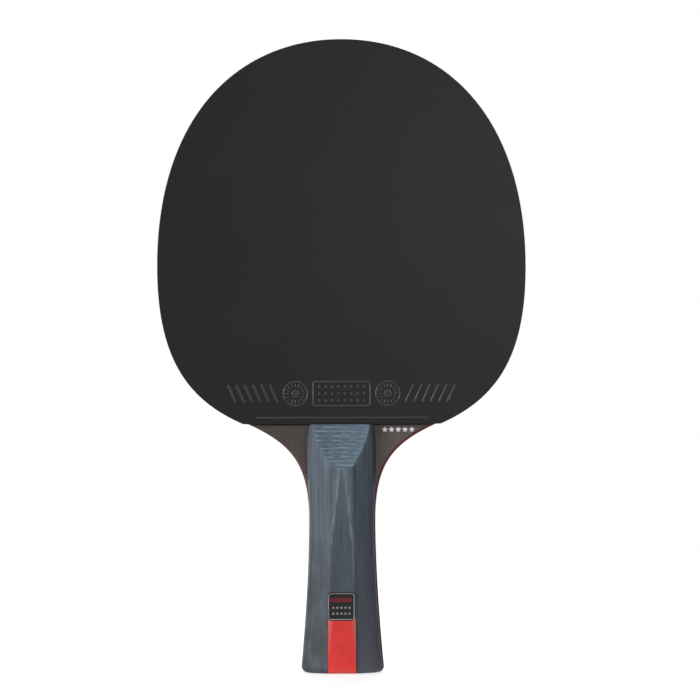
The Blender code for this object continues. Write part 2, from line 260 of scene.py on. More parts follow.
def face_outwards(mesh: Mesh) -> None:
    """Point every face of a mesh outwards.

    Args:
        mesh: A mesh of closed bodies.
    """
    bm = bmesh.new()
    bm.from_mesh(mesh)
    bmesh.ops.recalc_face_normals(bm, faces=bm.faces)
    bm.to_mesh(mesh)
    bm.free()


def join(meshes: Sequence[Mesh]) -> Mesh:
    """Put several meshes into one.

    Args:
        meshes: The meshes, with their materials.

    Returns:
        One mesh, with the materials of each.
    """
    bm = bmesh.new()
    surfaces: list[Material] = []
    for mesh in meshes:
        start = len(bm.faces)
        bm.from_mesh(mesh)
        bm.faces.ensure_lookup_table()
        for face in bm.faces[start:]:
            surface = mesh.materials[face.material_index]
            if surface not in surfaces:
                surfaces.append(surface)
            face.material_index = surfaces.index(surface)
    whole = bpy.data.meshes.new("joined")
    bm.to_mesh(whole)
    bm.free()
    for surface in surfaces:
        whole.materials.append(surface)
    return whole


def evaluated(obj: bpy.types.Object) -> Mesh:
    """Apply an object's modifiers.

    Args:
        obj: The object, whose modifiers are then removed.

    Returns:
        The plain mesh that they make.
    """
    graph = bpy.context.evaluated_depsgraph_get()
    mesh = bpy.data.meshes.new_from_object(obj.evaluated_get(graph))
    obj.modifiers.clear()
    return mesh


def add_object(name: str, data: bpy.types.ID) -> bpy.types.Object:
    """Link a mesh, a light or a camera into the scene at the origin.

    Args:
        name: The object's name.
        data: What it holds.

    Returns:
        The object.
    """
    obj = bpy.data.objects.new(name, data)
    bpy.context.scene.collection.objects.link(obj)
    return obj


def places(mesh: Mesh) -> np.ndarray:
    """The points of a mesh's vertices, (count, 3)."""
    return np.array([vertex.co for vertex in mesh.vertices])


def set_attribute(mesh: Mesh, name: str, values: np.ndarray) -> None:
    """Give each vertex of a mesh a number that its material reads."""
    attribute = mesh.attributes.new(name, "FLOAT", "POINT")
    attribute.data.foreach_set("value", np.asarray(values, np.float32))


def add_piece(
    name: str,
    mesh: Mesh,
    surfaces: Sequence[Material] = (),
    nodes: Sequence[str] = (),
    smooth_angle: float = SMOOTH_ANGLE,
) -> bpy.types.Object:
    """Show a finished mesh as a piece of the paddle.

    Args:
        name: The piece's name.
        mesh: Its mesh, in the paddle's frame.
        surfaces: Its materials, where the mesh has none yet.
        nodes: The solids that it stands for.
        smooth_angle: Edges sharper than this stay sharp.

    Returns:
        The piece, riding on the paddle's body.
    """
    mesh.name = name
    for surface in surfaces:
        mesh.materials.append(surface)
    mesh.shade_smooth()
    mesh.set_sharp_from_angle(angle=smooth_angle)
    piece = add_object(name, mesh)
    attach(piece, BODY)
    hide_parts(*nodes)
    LOG.info("%s: %d vertices, for %s", name, len(mesh.vertices), ", ".join(nodes) or "no solid")
    return piece


# Flat outlines and profiles: arrays of points in a plane


def bezier(
    start: Vector, start_reach: Vector, end_reach: Vector, end: Vector, steps: int
) -> np.ndarray:
    """Draw one Bezier stretch.

    Args:
        start: Its first point.
        start_reach: The first point's handle, from that point.
        end_reach: The last point's handle, from that point.
        end: Its last point.
        steps: Segments.

    Returns:
        Its points, both ends included.
    """
    handles = (start, start + start_reach, end + end_reach, end)
    points = interpolate_bezier(*[p.to_3d() for p in handles], steps + 1)
    return np.array([p.xy for p in points])


def mirrored(half: np.ndarray) -> np.ndarray:
    """A closed ring from the right half of an outline."""
    left = half[::-1][half[::-1, 0] > 0] * (-1, 1)
    return np.concatenate((half, left))


def bridged(right: np.ndarray) -> np.ndarray:
    """An open line over the centre from its right half, which ends there."""
    return np.concatenate((right, right[-2::-1] * (-1, 1)))


def offset(ring: np.ndarray, distance: float | np.ndarray) -> np.ndarray:
    """Move a closed clockwise ring outwards, or inwards where the distance is negative.

    Args:
        ring: The ring's points.
        distance: One distance for all, or one for each point.

    Returns:
        The moved points, mitred at corners.
    """
    edges = np.roll(ring, -1, axis=0) - ring
    edges /= np.linalg.norm(edges, axis=1)[:, None]
    after = np.stack((-edges[:, 1], edges[:, 0]), axis=1)
    before = np.roll(after, 1, axis=0)
    mitre = (before + after) / (1 + np.sum(before * after, axis=1))[:, None]
    return ring + mitre * np.broadcast_to(distance, len(ring))[:, None]


def distances(line: np.ndarray) -> np.ndarray:
    """How far along a line each of its points lies."""
    return np.concatenate(([0], np.cumsum(np.linalg.norm(np.diff(line, axis=0), axis=1))))


def walked(line: np.ndarray, stops: np.ndarray) -> np.ndarray:
    """The points of a line at these distances along it."""
    along = distances(line)
    return np.stack([np.interp(stops, along, line[:, axis]) for axis in (0, 1)], axis=1)


def resampled(ring: np.ndarray, spacing: float) -> np.ndarray:
    """Even out the points of a closed ring.

    Args:
        ring: The ring's points.
        spacing: The distance between two points, about.

    Returns:
        The new points.
    """
    closed = np.vstack((ring, ring[:1]))
    length = distances(closed)[-1]
    return walked(closed, np.linspace(0, length, int(length / spacing), endpoint=False))


def raised(ring: np.ndarray, level: float | np.ndarray) -> np.ndarray:
    """A flat ring lifted to a level along the third axis."""
    return np.column_stack((ring, np.broadcast_to(level, len(ring))))


def stacked(ring: np.ndarray, profile: Sequence[Sequence[float]]) -> list[np.ndarray]:
    """A ring's copies for a loft, each drawn in by an inset and lifted to a level."""
    return [raised(offset(ring, -inset), level) for inset, level in profile]


def quarter_round(radius: float, steps: int) -> list[Pair]:
    """The insets and drops of a rounded edge's points, from its side to its face."""
    turns = [math.pi / 2 * step / steps for step in range(steps + 1)]
    return [(radius * (1 - math.cos(turn)), radius * (1 - math.sin(turn))) for turn in turns]


def arc_inset(radius: float, depth: float) -> float:
    """How far a rounded edge draws in at a depth below its face."""
    left = max(radius - depth, 0.0)
    return radius - math.sqrt(radius ** 2 - left ** 2)


def rounded_rectangle(width: float, height: float, radius: float, steps: int = 6) -> np.ndarray:
    """Draw a rectangle with arcs at its corners.

    Args:
        width: Its size across.
        height: Its size up.
        radius: Radius of the arcs.
        steps: Segments in each arc.

    Returns:
        Clockwise points, centred on the origin.
    """
    points = []
    for quarter, (sx, sy) in enumerate(((-1, 1), (1, 1), (1, -1), (-1, -1))):
        centre = Vector((sx * (width / 2 - radius), sy * (height / 2 - radius)))
        for step in range(steps + 1):
            turn = math.pi - math.pi / 2 * (quarter + step / steps)
            points.append(centre + radius * Vector((math.cos(turn), math.sin(turn))))
    return np.array(points)


def circle(radius: float, steps: int) -> np.ndarray:
    """Clockwise points round a circle."""
    turns = -np.linspace(0, 2 * math.pi, steps, endpoint=False)
    return radius * np.stack((np.cos(turns), np.sin(turns)), axis=1)


def star(radius: float, waist: float = 0.46) -> np.ndarray:
    """Draw a plain star.

    Args:
        radius: Distance of its tips from its middle.
        waist: Distance of its inner corners, as a share of that.

    Returns:
        Clockwise points, the first of them the upper tip.
    """
    steps = range(2 * STAR_POINTS)
    turns = [math.pi / 2 - math.pi / STAR_POINTS * step for step in steps]
    reach = [radius if step % 2 == 0 else radius * waist for step in steps]
    return np.array([(r * math.cos(t), r * math.sin(t)) for r, t in zip(reach, turns)])


def softened(
    corners: Sequence[Sequence[float]], reach: float, steps: int, most: float = 0.45
) -> np.ndarray:
    """Round every inner corner of a line.

    Args:
        corners: The line's points.
        reach: How far from a corner its rounding starts.
        steps: Segments in each rounding.
        most: The share of a side that a rounding may take.

    Returns:
        The rounded line's points.
    """
    points = [Vector(corners[0])]
    for before, corner, after in zip(corners, corners[1:], corners[2:]):
        middle = Vector(corner)
        ways = [Vector(end) - middle for end in (before, after)]
        start, end = (middle + way.normalized() * min(reach, most * way.length) for way in ways)
        for share in np.linspace(0, 1, steps + 1):
            points.append(start.lerp(middle, share).lerp(middle.lerp(end, share), share))
    points.append(Vector(corners[-1]))
    return np.array(points)


def smooth_step(value: float | np.ndarray, low: float, high: float) -> float | np.ndarray:
    """0 below low, 1 above high, smooth between."""
    share = np.clip((value - low) / (high - low), 0, 1)
    return share * share * (3 - 2 * share)


@dataclass(frozen=True)
class BladeOutline:
    """The blade's outline as (x, z) points, from the sizes that its solids have."""

    handle_length: float = 0.1014
    head_length: float = 0.1561
    blade_width: float = 0.1489
    widest_above_handle: float = 0.0642
    shoulder_width: float = 0.0798
    shoulder_slope: float = math.radians(23.5)
    waist_height: float = 0.0606
    waist_width: float = 0.0270
    butt_width: float = 0.0341
    butt_round: float = 0.0028
    flare_power: float = 1.62
    crown_across: float = 0.578
    crown_down: float = 0.643
    cheek_down: float = 0.576
    cheek_out: float = 0.72
    shoulder_in: float = 0.855
    shoulder_up: float = 0.566
    rubber_overhang: float = 0.0006
    crown_steps: int = 90
    cheek_steps: int = 60
    shoulder_steps: int = 48
    flare_steps: int = 40
    round_steps: int = 6

    def slope(self) -> Vector:
        """Direction of the outline at the rubber's lower corner, pointing up and out."""
        return Vector((math.cos(self.shoulder_slope), math.sin(self.shoulder_slope)))

    def shoulder_point(self) -> Vector:
        """Where the head's outline turns into the shoulder."""
        height = self.handle_length + self.rubber_overhang * math.cos(self.shoulder_slope)
        return Vector((self.shoulder_width / 2, height))

    def head(self) -> np.ndarray:
        """Draw the right half of the head.

        Returns:
            Points from its top to the shoulder.
        """
        top = Vector((0, self.handle_length + self.head_length))
        side = Vector((self.blade_width / 2, self.handle_length + self.widest_above_handle))
        corner = self.shoulder_point()
        across = Vector((self.crown_across * side.x, 0))
        up = Vector((0, self.crown_down * (top.y - side.y)))
        down = Vector((0, self.cheek_down * (corner.y - side.y)))
        out = self.slope() * self.cheek_out * (side.x - corner.x)
        crown = bezier(top, across, up, side, self.crown_steps)
        cheek = bezier(side, down, out, corner, self.cheek_steps)
        return np.concatenate((crown, cheek[1:]))

    def shoulder(self) -> np.ndarray:
        """Draw the right shoulder.

        Returns:
            Points from the head down to the handle's waist.
        """
        corner = self.shoulder_point()
        waist = Vector((self.waist_width / 2, self.waist_height))
        inward = -self.slope() * self.shoulder_in * (corner.x - waist.x)
        up = Vector((0, self.shoulder_up * (corner.y - waist.y)))
        return bezier(corner, inward, up, waist, self.shoulder_steps)

    def butt_inset(self, z: float) -> float:
        """How far the rounded lower edge draws in at height z."""
        return arc_inset(self.butt_round, z)

    def butt_heights(self) -> list[float]:
        """Heights of the rounded lower edge, from the butt up."""
        turns = np.linspace(0, math.pi / 2, self.round_steps + 1)
        return (self.butt_round * (1 - np.cos(turns))).tolist()

    def flare_share(self, z: float) -> float:
        """How far down the flare a height lies: 0 from the waist up, 1 at the butt."""
        return max(self.waist_height - z, 0) / self.waist_height

    def flared_half_width(self, z: float) -> float:
        """Half width of the tang between butt and waist."""
        wider = (self.butt_width - self.waist_width) / 2 * self.flare_share(z) ** self.flare_power
        return self.waist_width / 2 + wider

    def flare(self) -> np.ndarray:
        """Draw the right edge of the tang.

        Returns:
            Points from just below the waist to the butt.
        """
        heights = np.linspace(self.waist_height, self.butt_round, self.flare_steps + 1)
        heights = heights[1:-1].tolist() + self.butt_heights()[::-1]
        return np.array([(self.flared_half_width(z) - self.butt_inset(z), z) for z in heights])

    def blade(self) -> np.ndarray:
        """The whole blade as a closed ring."""
        return mirrored(np.concatenate((self.head(), self.shoulder()[1:], self.flare())))

    def rubber(self) -> np.ndarray:
        """Draw a rubber sheet, which overhangs the blade and ends square at the handle.

        Returns:
            A closed ring.
        """
        half = self.head()
        before = np.vstack(([-half[1, 0], half[1, 1]], half[:-1]))
        after = np.vstack((half[1:], 2 * half[-1] - half[-2]))
        along = (after - before) / np.linalg.norm(after - before, axis=1)[:, None]
        outward = np.stack((-along[:, 1], along[:, 0]), axis=1)
        return mirrored(half + self.rubber_overhang * outward)


OUTLINE = BladeOutline()


@cache
def levels(node: str) -> Pair:
    """Find a layer's place across the blade.

    Args:
        node: The layer's solid.

    Returns:
        Distances of its inner and its outer face from the blade's middle plane.
    """
    low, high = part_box(node)
    near, far = sorted((abs(low.y), abs(high.y)))
    return near, far


def bonded(node: str) -> Pair:
    """A layer's levels with its glue, which closes the gap that the solids have below it."""
    near, far = levels(node)
    return near - GLUE_LINE, far


# Finishes


@dataclass
class Surface:
    """A new material whose patterns read the piece's own coordinates."""

    name: str
    material: Material = field(init=False)
    place: Socket = field(init=False)

    def __post_init__(self) -> None:
        """Start the node tree."""
        self.material = bpy.data.materials.new(self.name)
        self.material.use_nodes = True
        self.material.node_tree.nodes.clear()
        self.place = self.add(Kind.COORDINATES).outputs["Object"]

    def add(self, kind: Kind, inputs: Inputs = (), **settings: object) -> Node:
        """Add a node to the material's tree."""
        return add_node(self.material.node_tree, kind, inputs, **settings)

    def finish(self, inputs: dict[str, object]) -> Material:
        """Close the tree with a shader that has these inputs."""
        self.add(Kind.MATERIAL_OUTPUT, (self.add(Kind.PRINCIPLED, inputs),))
        return self.material


@dataclass(frozen=True)
class Grain:
    """A pattern of noise, by the size of its features in millimetres, which may differ by axis."""

    size: float | Triple
    detail: float = 2.0
    roughness: float = 0.5

    def draw(self, s: Surface) -> Node:
        """Draw the pattern over a piece.

        Args:
            s: The material that gets it.

        Returns:
            The node with its value.
        """
        scale = per(*np.broadcast_to(self.size, 3).tolist())
        drawn_out = s.add(Kind.STRETCH, {"Vector": s.place, "Scale": scale})
        look = {"Scale": 1.0, "Detail": self.detail, "Roughness": self.roughness}
        return s.add(Kind.NOISE, {"Vector": drawn_out, **look})


@dataclass(frozen=True)
class MouldedRubber:
    """Natural rubber moulded against a polished plate.

    An even, dull sheen with faint clouds, dust and wiped streaks. A painted highlight makes the
    raised edges paler near their tops.
    """

    name: str
    base: str
    cloud: str
    # Colour of the dust, which the painted highlight on the raised edges also takes
    dust: str
    clouds: Grain = Grain(34.0, 3.0)
    cloud_span: Pair = (0.35, 0.7)
    dust_spacing: float = 7.0
    dust_size: float = 0.16
    dust_chance: Ramp = (0.72, 1.0, 0.0, 0.5)
    # How far the painted highlight on the raised edges goes towards the dust's colour
    ridge_highlight_share: float = 0.7
    skin: Grain = Grain(0.55)
    skin_depth: float = 0.004
    wipes: Grain = Grain((18.0, 18.0, 60.0), 3.0)
    roughness: Ramp = (*NOISE_SPAN, 0.302, 0.318)
    ior: float = 1.5

    def build(self) -> Material:
        """Make the material.

        Returns:
            The material.
        """
        s = Surface(self.name)
        cloudy = s.add(Kind.RAMP, (self.clouds.draw(s), *self.cloud_span))
        colour = s.add(Kind.BLEND, (cloudy, linear(self.base), linear(self.cloud)))
        cells = s.add(Kind.CELLS, {"Vector": s.place, "Scale": MILLIMETRES / self.dust_spacing})
        size = self.dust_size / self.dust_spacing
        speck = s.add(Kind.RAMP, (cells, size / 2, size, 1.0, 0.0))
        chance = s.add(Kind.COLOUR_PARTS, (cells.outputs["Color"],)).outputs["Red"]
        dust = s.add(Kind.PRODUCT, (speck, s.add(Kind.RAMP, (chance, *self.dust_chance))))
        # Painted highlight on the raised edges, read from the mesh
        rub = s.add(Kind.ATTRIBUTE, attribute_name="rub").outputs["Fac"]
        lightened = s.add(Kind.PRODUCT, (rub, self.ridge_highlight_share))
        for share in (dust, lightened):
            colour = s.add(Kind.BLEND, (share, colour, linear(self.dust)))
        rough = s.add(Kind.RAMP, (self.wipes.draw(s), *self.roughness))
        depth = self.skin_depth / MILLIMETRES
        bump = s.add(Kind.BUMP, {"Height": self.skin.draw(s), "Distance": depth})
        return s.finish({"Base Color": colour, "Roughness": rough, "Normal": bump, "IOR": self.ior})


@dataclass(frozen=True)
class FoamSponge:
    """Closed-cell foam rubber cut with a knife: matt, with pores drawn at twice their real size, in
    painted shade.
    """

    name: str = "foam_rubber_cut"
    wall: str = "#3a3a3d"
    # Painted shade in the open cells
    pore: str = "#141416"
    pore_size: float = 0.42
    pore_depth: float = 0.06
    wall_span: Pair = (0.18, 0.5)
    roughness: Ramp = (0.0, 1.0, 1.0, 0.85)

    def build(self) -> Material:
        """Make the material.

        Returns:
            The material.
        """
        s = Surface(self.name)
        cells = s.add(Kind.CELLS, {"Vector": s.place, "Scale": MILLIMETRES / self.pore_size})
        wall = s.add(Kind.RAMP, (cells, *self.wall_span))
        colour = s.add(Kind.BLEND, (wall, linear(self.pore), linear(self.wall)))
        rough = s.add(Kind.RAMP, (wall, *self.roughness))
        bump = s.add(Kind.BUMP, {"Height": wall, "Distance": self.pore_depth / MILLIMETRES})
        return s.finish({"Base Color": colour, "Roughness": rough, "Normal": bump})


@dataclass(frozen=True)
class StainedHandleWood:
    """Beech veneers dyed blue-grey, pressed into a block, machined and oiled.

    Fine fibres run along the handle. Painted shade makes it darker and greyer towards the butt,
    mostly on the left, and a painted shadow runs along its right foot. The scooped top end cuts
    across the veneers, so it is paler, with broken light lines from side to side. The creases are
    paler too, partly from wear and partly from a painted highlight.
    """

    name: str = "beech_dyed_blue_grey_oiled"
    dark: str = "#424d57"
    pale: str = "#5b6671"
    cut: str = "#607484"
    scored: str = "#8599a9"
    # Colour of the creases: paler from wear and from a painted highlight
    lightened: str = "#7a8894"
    # Painted shade towards the butt: its colour on the left and on the right
    low_shade_left: str = "#383b3f"
    low_shade_right: str = "#5a5a65"
    # Colour of the painted shadow along the right foot
    foot_shadow: str = "#15171b"
    veneer: float = 0.55
    veneer_detail: float = 1.0
    ripple: Grain = Grain((9.0, 9.0, 26.0))
    ripple_height: float = 0.4
    fibre: Grain = Grain((0.42, 0.42, 16.0), 3.0)
    figure: Grain = Grain((3.5, 3.5, 38.0))
    # Shares of the veneers, the fibres and the figure in the tone
    weights: Triple = (0.2, 0.45, 0.35)
    tones: Pair = (0.34, 0.66)
    pore: Grain = Grain((0.2, 0.2, 2.6), 1.0)
    pores: Ramp = (0.62, 0.76, 0.0, 0.45)
    # Painted shade towards the butt: its share from the butt up
    low_shade: Ramp = (0.005, 0.095, 0.75, 0.0)
    blotch: Grain = Grain((7.0, 7.0, 13.0), 3.0)
    blotches: Ramp = (*NOISE_MIDDLE, 0.5, 1.3)
    # A spot of painted shade low on the left, and how far it reaches across and up
    shade_spot: Triple = (-0.0065, 0.0, 0.044)
    shade_spot_reach: Pair = (4.5, 18.0)
    shade_spot_share: float = 0.36
    # Where the painted shade turns from its left colour to its right one
    shade_side_edge: Pair = (0.003, 0.008)
    # Painted shadow along the right foot: where it lies across, and how it fades in up the handle
    foot_shadow_edge: Pair = (0.0115, 0.0140)
    foot_shadow_height: Ramp = (0.070, 0.088, 0.0, 0.7)
    scrape: Grain = Grain((1.3, 1.3, 0.5))
    scrapes: Ramp = (*NOISE_MIDDLE, 0.15, 1.0)
    scrape_lean: Ramp = (-0.009, 0.005, 0.35, 1.3)
    line_pitch: float = 1.7
    line_width: float = 0.32
    line_bow: float = 1.3
    bow: Grain = Grain((26.0, 26.0, 4.0))
    line_break: Grain = Grain((4.5, 4.5, 1.6))
    line_breaks: Ramp = (0.4, 0.62, 0.1, 1.0)
    # Breaks in the paler creases
    crease_break: Grain = Grain((0.6, 0.6, 5.0), 3.0)
    crease_breaks: Ramp = (0.32, 0.62, 0.2, 1.0)
    roughness: Ramp = (*NOISE_SPAN, 0.64, 0.53)
    relief: float = 0.02
    sheen: float = 0.3

    def build(self) -> Material:
        """Make the material.

        Returns:
            The material.
        """
        s = Surface(self.name)
        parts = s.add(Kind.PLACE_PARTS, (s.place,)).outputs
        fibre = self.fibre.draw(s)
        body = self.fibrous(s, parts["Y"], fibre)
        body = self.with_low_shade(s, parts["X"], parts["Z"], body)
        body = self.scraped(s, parts["X"], parts["Z"], body)
        # Creases paler, partly from wear and partly from a painted highlight
        crease = s.add(Kind.ATTRIBUTE, attribute_name="crease").outputs["Fac"]
        broken = s.add(Kind.RAMP, (self.crease_break.draw(s), *self.crease_breaks))
        worn_and_lit = s.add(Kind.PRODUCT, (crease, broken))
        body = s.add(Kind.BLEND, (worn_and_lit, body, linear(self.lightened)))
        rough = s.add(Kind.RAMP, (fibre, *self.roughness))
        bump = s.add(Kind.BUMP, {"Height": fibre, "Distance": self.relief / MILLIMETRES})
        gloss = {"Roughness": rough, "Specular IOR Level": self.sheen}
        return s.finish({"Base Color": body, "Normal": bump, **gloss})

    def fibrous(self, s: Surface, depth: Socket, fibre: Node) -> Node:
        """Colour of the veneers, their fibres and their pores.

        Args:
            s: The material.
            depth: Distance from the blade's middle plane, in metres.
            fibre: The pattern of the fibres.

        Returns:
            The node with the colour.
        """
        sheet = s.add(Kind.PRODUCT, (depth, MILLIMETRES / self.veneer))
        swell = self.ripple_height / self.veneer
        layer = s.add(Kind.SCALED_SUM, (self.ripple.draw(s), swell, sheet))
        veneers = s.add(Kind.LAYERS, {"W": layer, "Scale": 1.0, "Detail": self.veneer_detail})
        tone: Node | float = 0.0
        for pattern, weight in zip((veneers, fibre, self.figure.draw(s)), self.weights):
            tone = s.add(Kind.SCALED_SUM, (pattern, weight, tone))
        share = s.add(Kind.RAMP, (tone, *self.tones))
        body = s.add(Kind.BLEND, (share, linear(self.dark), linear(self.pale)))
        pores = s.add(Kind.RAMP, (self.pore.draw(s), *self.pores))
        return s.add(Kind.BLEND, (pores, body, linear(self.dark)))

    def with_low_shade(self, s: Surface, across: Socket, height: Socket, body: Node) -> Node:
        """The body colour with painted shade towards the butt and a painted shadow along the right
        foot.

        Args:
            s: The material.
            across: Distance to the right of the handle's middle, in metres.
            height: Height up the handle, in metres.
            body: The colour of clean wood.

        Returns:
            The node with the colour.
        """
        # Painted shade: darker towards the butt and in a spot low on the left, paler on the right
        low_shade = s.add(Kind.RAMP, (height, *self.low_shade))
        uneven = s.add(Kind.RAMP, (self.blotch.draw(s), *self.blotches))
        wide, long = per(*self.shade_spot_reach)
        scale = (wide, 0.0, long)
        shift = [-place * by for place, by in zip(self.shade_spot, scale)]
        from_shade_spot = s.add(Kind.STRETCH, {"Vector": s.place, "Location": shift, "Scale": scale})
        shade_spot = s.add(Kind.RAMP, (s.add(Kind.LENGTH, (from_shade_spot,)), 0.0, 1.0, self.shade_spot_share, 0.0))
        tint_share = s.add(Kind.SCALED_SUM, (low_shade, uneven, shade_spot))
        right_side = s.add(Kind.RAMP, (across, *self.shade_side_edge))
        used = s.add(Kind.BLEND, (right_side, linear(self.low_shade_left), linear(self.low_shade_right)))
        body = s.add(Kind.BLEND, (tint_share, body, used))
        # Painted shadow along the right foot
        foot = s.add(Kind.RAMP, (across, *self.foot_shadow_edge))
        foot_shadow_share = s.add(Kind.PRODUCT, (foot, s.add(Kind.RAMP, (height, *self.foot_shadow_height))))
        return s.add(Kind.BLEND, (foot_shadow_share, body, linear(self.foot_shadow)))

    def scraped(self, s: Surface, across: Socket, height: Socket, body: Node) -> Node:
        """The body colour with the facet's paler cut and its cross lines.

        Args:
            s: The material.
            across: Distance to the right of the handle's middle, in metres.
            height: Height up the handle, in metres.
            body: The colour elsewhere.

        Returns:
            The node with the colour.
        """
        facet = s.add(Kind.ATTRIBUTE, attribute_name="facet").outputs["Fac"]
        scrape = s.add(Kind.RAMP, (self.scrape.draw(s), *self.scrapes))
        scrape = s.add(Kind.PRODUCT, (scrape, s.add(Kind.RAMP, (across, *self.scrape_lean))))
        turns = s.add(Kind.PRODUCT, (height, MILLIMETRES / self.line_pitch))
        bowed = s.add(Kind.SCALED_SUM, (self.bow.draw(s), self.line_bow, turns))
        half_turn = 0.5
        swing = s.add(Kind.SWING, (bowed, half_turn))
        line = s.add(Kind.RAMP, (swing, half_turn - self.line_width / self.line_pitch, half_turn))
        patchy = s.add(Kind.RAMP, (self.line_break.draw(s), *self.line_breaks))
        broken = s.add(Kind.PRODUCT, (line, patchy))
        for share, colour in ((scrape, self.cut), (broken, self.scored)):
            shown = s.add(Kind.PRODUCT, (facet, share))
            body = s.add(Kind.BLEND, (shown, body, linear(colour)))
        return body


@dataclass(frozen=True)
class StainedVeneer:
    """Walnut veneer stained nearly black and sealed.

    Straight dark grain. A painted sheen makes it paler towards the right, and painted light makes
    it paler just under the rubber and in a strip on the right of the handle, where the handle's
    shadow falls. A painted shadow runs as a dark line along the rubber's foot, and red lacquer is
    sprayed over the edge.
    """

    name: str = "walnut_veneer_stained"
    dark: str = "#3a3230"
    pale: str = "#605654"
    lacquer: str = "#6a272d"
    # Painted shadow along the rubber's foot
    rubber_shadow: str = "#0d0a0a"
    # Painted light in a strip on the right of the handle, over its shadow
    shadow_fill: str = "#746b68"
    figure: Grain = Grain((2.4, 2.4, 40.0), 2.0, 0.6)
    fibre: Grain = Grain((0.35, 0.35, 20.0), 3.0, 0.6)
    # Shares of the figure and the fibres in the tone, over a plain one
    weights: Pair = (0.2, 0.35)
    plain: float = 0.225
    # Painted sheen: paler towards the right
    lean: Ramp = (-0.03, 0.03, -0.1, 0.1)
    # Painted light just under the rubber
    lit_under_rubber: Ramp = (0.0045, 0.0008, 0.0, 0.5)
    foot_slant: float = 0.049
    # The strip of painted light beside the handle's right foot
    shadow_fill_span: Ramp = (0.0182, 0.0215, 0.85, 0.0)
    right_half: Pair = (0.0, 0.005)
    # Width of the painted shadow along the rubber's foot
    rubber_shadow_width: Pair = (0.0007, 0.0004)
    drift: Grain = Grain(1.6)
    drifts: Ramp = (*NOISE_SPAN, -0.12, 0.12)
    reach: Ramp = (-0.005, 0.005, 0.35, 1.0)
    overspray: float = 0.2
    roughness: Ramp = (0.0, 1.0, 0.5, 0.34)
    relief: float = 0.015

    def build(self) -> Material:
        """Make the material.

        Returns:
            The material.
        """
        s = Surface(self.name)
        parts = s.add(Kind.PLACE_PARTS, (s.place,)).outputs
        fibre = self.fibre.draw(s)
        wood = self.bare(s, parts["X"], parts["Z"], fibre)
        inset = s.add(Kind.ATTRIBUTE, attribute_name="edge_inset").outputs["Fac"]
        drifted = s.add(Kind.SUM, (inset, s.add(Kind.RAMP, (self.drift.draw(s), *self.drifts))))
        beyond = s.add(Kind.DIFFERENCE, (drifted, s.add(Kind.RAMP, (parts["X"], *self.reach))))
        painted = s.add(Kind.RAMP, (beyond, -self.overspray, self.overspray, 1.0, 0.0))
        colour = s.add(Kind.BLEND, (painted, wood, linear(self.lacquer)))
        rough = s.add(Kind.RAMP, (painted, *self.roughness))
        bump = s.add(Kind.BUMP, {"Height": fibre, "Distance": self.relief / MILLIMETRES})
        return s.finish({"Base Color": colour, "Roughness": rough, "Normal": bump})

    def bare(self, s: Surface, across: Socket, height: Socket, fibre: Node) -> Node:
        """Colour of the veneer inside its lacquered edge, with painted sheen, light and shadow.

        Args:
            s: The material.
            across: Distance to the right of the blade's middle, in metres.
            height: Height above the butt, in metres.
            fibre: The pattern of the fibres.

        Returns:
            The node with the colour.
        """
        tone: Node | float = self.plain
        for pattern, weight in zip((self.figure.draw(s), fibre), self.weights):
            tone = s.add(Kind.SCALED_SUM, (pattern, weight, tone))
        # Painted sheen: paler towards the right
        tone = s.add(Kind.SUM, (tone, s.add(Kind.RAMP, (across, *self.lean))))
        share = s.add(Kind.RAMP, (tone, *NOISE_SPAN))
        wood = s.add(Kind.BLEND, (share, linear(self.dark), linear(self.pale)))
        # Painted light under the rubber and beside the handle, and a painted shadow line at the
        # rubber's foot
        below = s.add(Kind.DIFFERENCE, (OUTLINE.handle_length, height))
        clean = s.add(Kind.RAMP, (below, *self.lit_under_rubber))
        beside = s.add(Kind.SCALED_SUM, (height, self.foot_slant, across))
        strip = s.add(Kind.RAMP, (beside, *self.shadow_fill_span))
        strip = s.add(Kind.PRODUCT, (strip, s.add(Kind.RAMP, (across, *self.right_half))))
        shadow_line = s.add(Kind.RAMP, (below, *self.rubber_shadow_width))
        for share, colour in ((clean, self.pale), (strip, self.shadow_fill), (shadow_line, self.rubber_shadow)):
            wood = s.add(Kind.BLEND, (share, wood, linear(colour)))
        return wood


@dataclass(frozen=True)
class TwoTone:
    """A finish whose colour and roughness follow one fine pattern."""

    name: str
    first: str
    second: str
    grain: Grain = Grain(1.0)
    tones: Pair = NOISE_MIDDLE
    roughness: Ramp = (*NOISE_SPAN, 0.4, 0.5)
    relief: float = 0.0
    # Further inputs of the shader
    shader: tuple[tuple[str, float], ...] = ()

    def colour(self, s: Surface, pattern: Node) -> Node:
        """Mix the two tones."""
        share = s.add(Kind.RAMP, (pattern, *self.tones))
        return s.add(Kind.BLEND, (share, linear(self.first), linear(self.second)))

    def build(self) -> Material:
        """Make the material.

        Returns:
            The material.
        """
        s = Surface(self.name)
        pattern = self.grain.draw(s)
        rough = s.add(Kind.RAMP, (pattern, *self.roughness))
        inputs = {"Base Color": self.colour(s, pattern), "Roughness": rough, **dict(self.shader)}
        if self.relief:
            depth = self.relief / MILLIMETRES
            inputs["Normal"] = s.add(Kind.BUMP, {"Height": pattern, "Distance": depth})
        return s.finish(inputs)


@dataclass(frozen=True)
class EdgeLacquer(TwoTone):
    """Red lacquer sprayed over plywood edges: semi-gloss, duller where end grain soaks it up."""

    grain: Grain = Grain(0.9, 4.0)
    tones: Pair = (0.4, 0.7)
    roughness: Ramp = (0.35, 0.7, 0.32, 0.48)
    relief: float = 0.02


@dataclass(frozen=True)
class RotaryCutWood(TwoTone):
    """Wood peeled off a turning log: pale, with long fibres, seen only where the plies part."""

    grain: Grain = Grain((0.6, 0.6, 30.0), 3.0)
    roughness: Ramp = (*NOISE_SPAN, 0.65, 0.55)


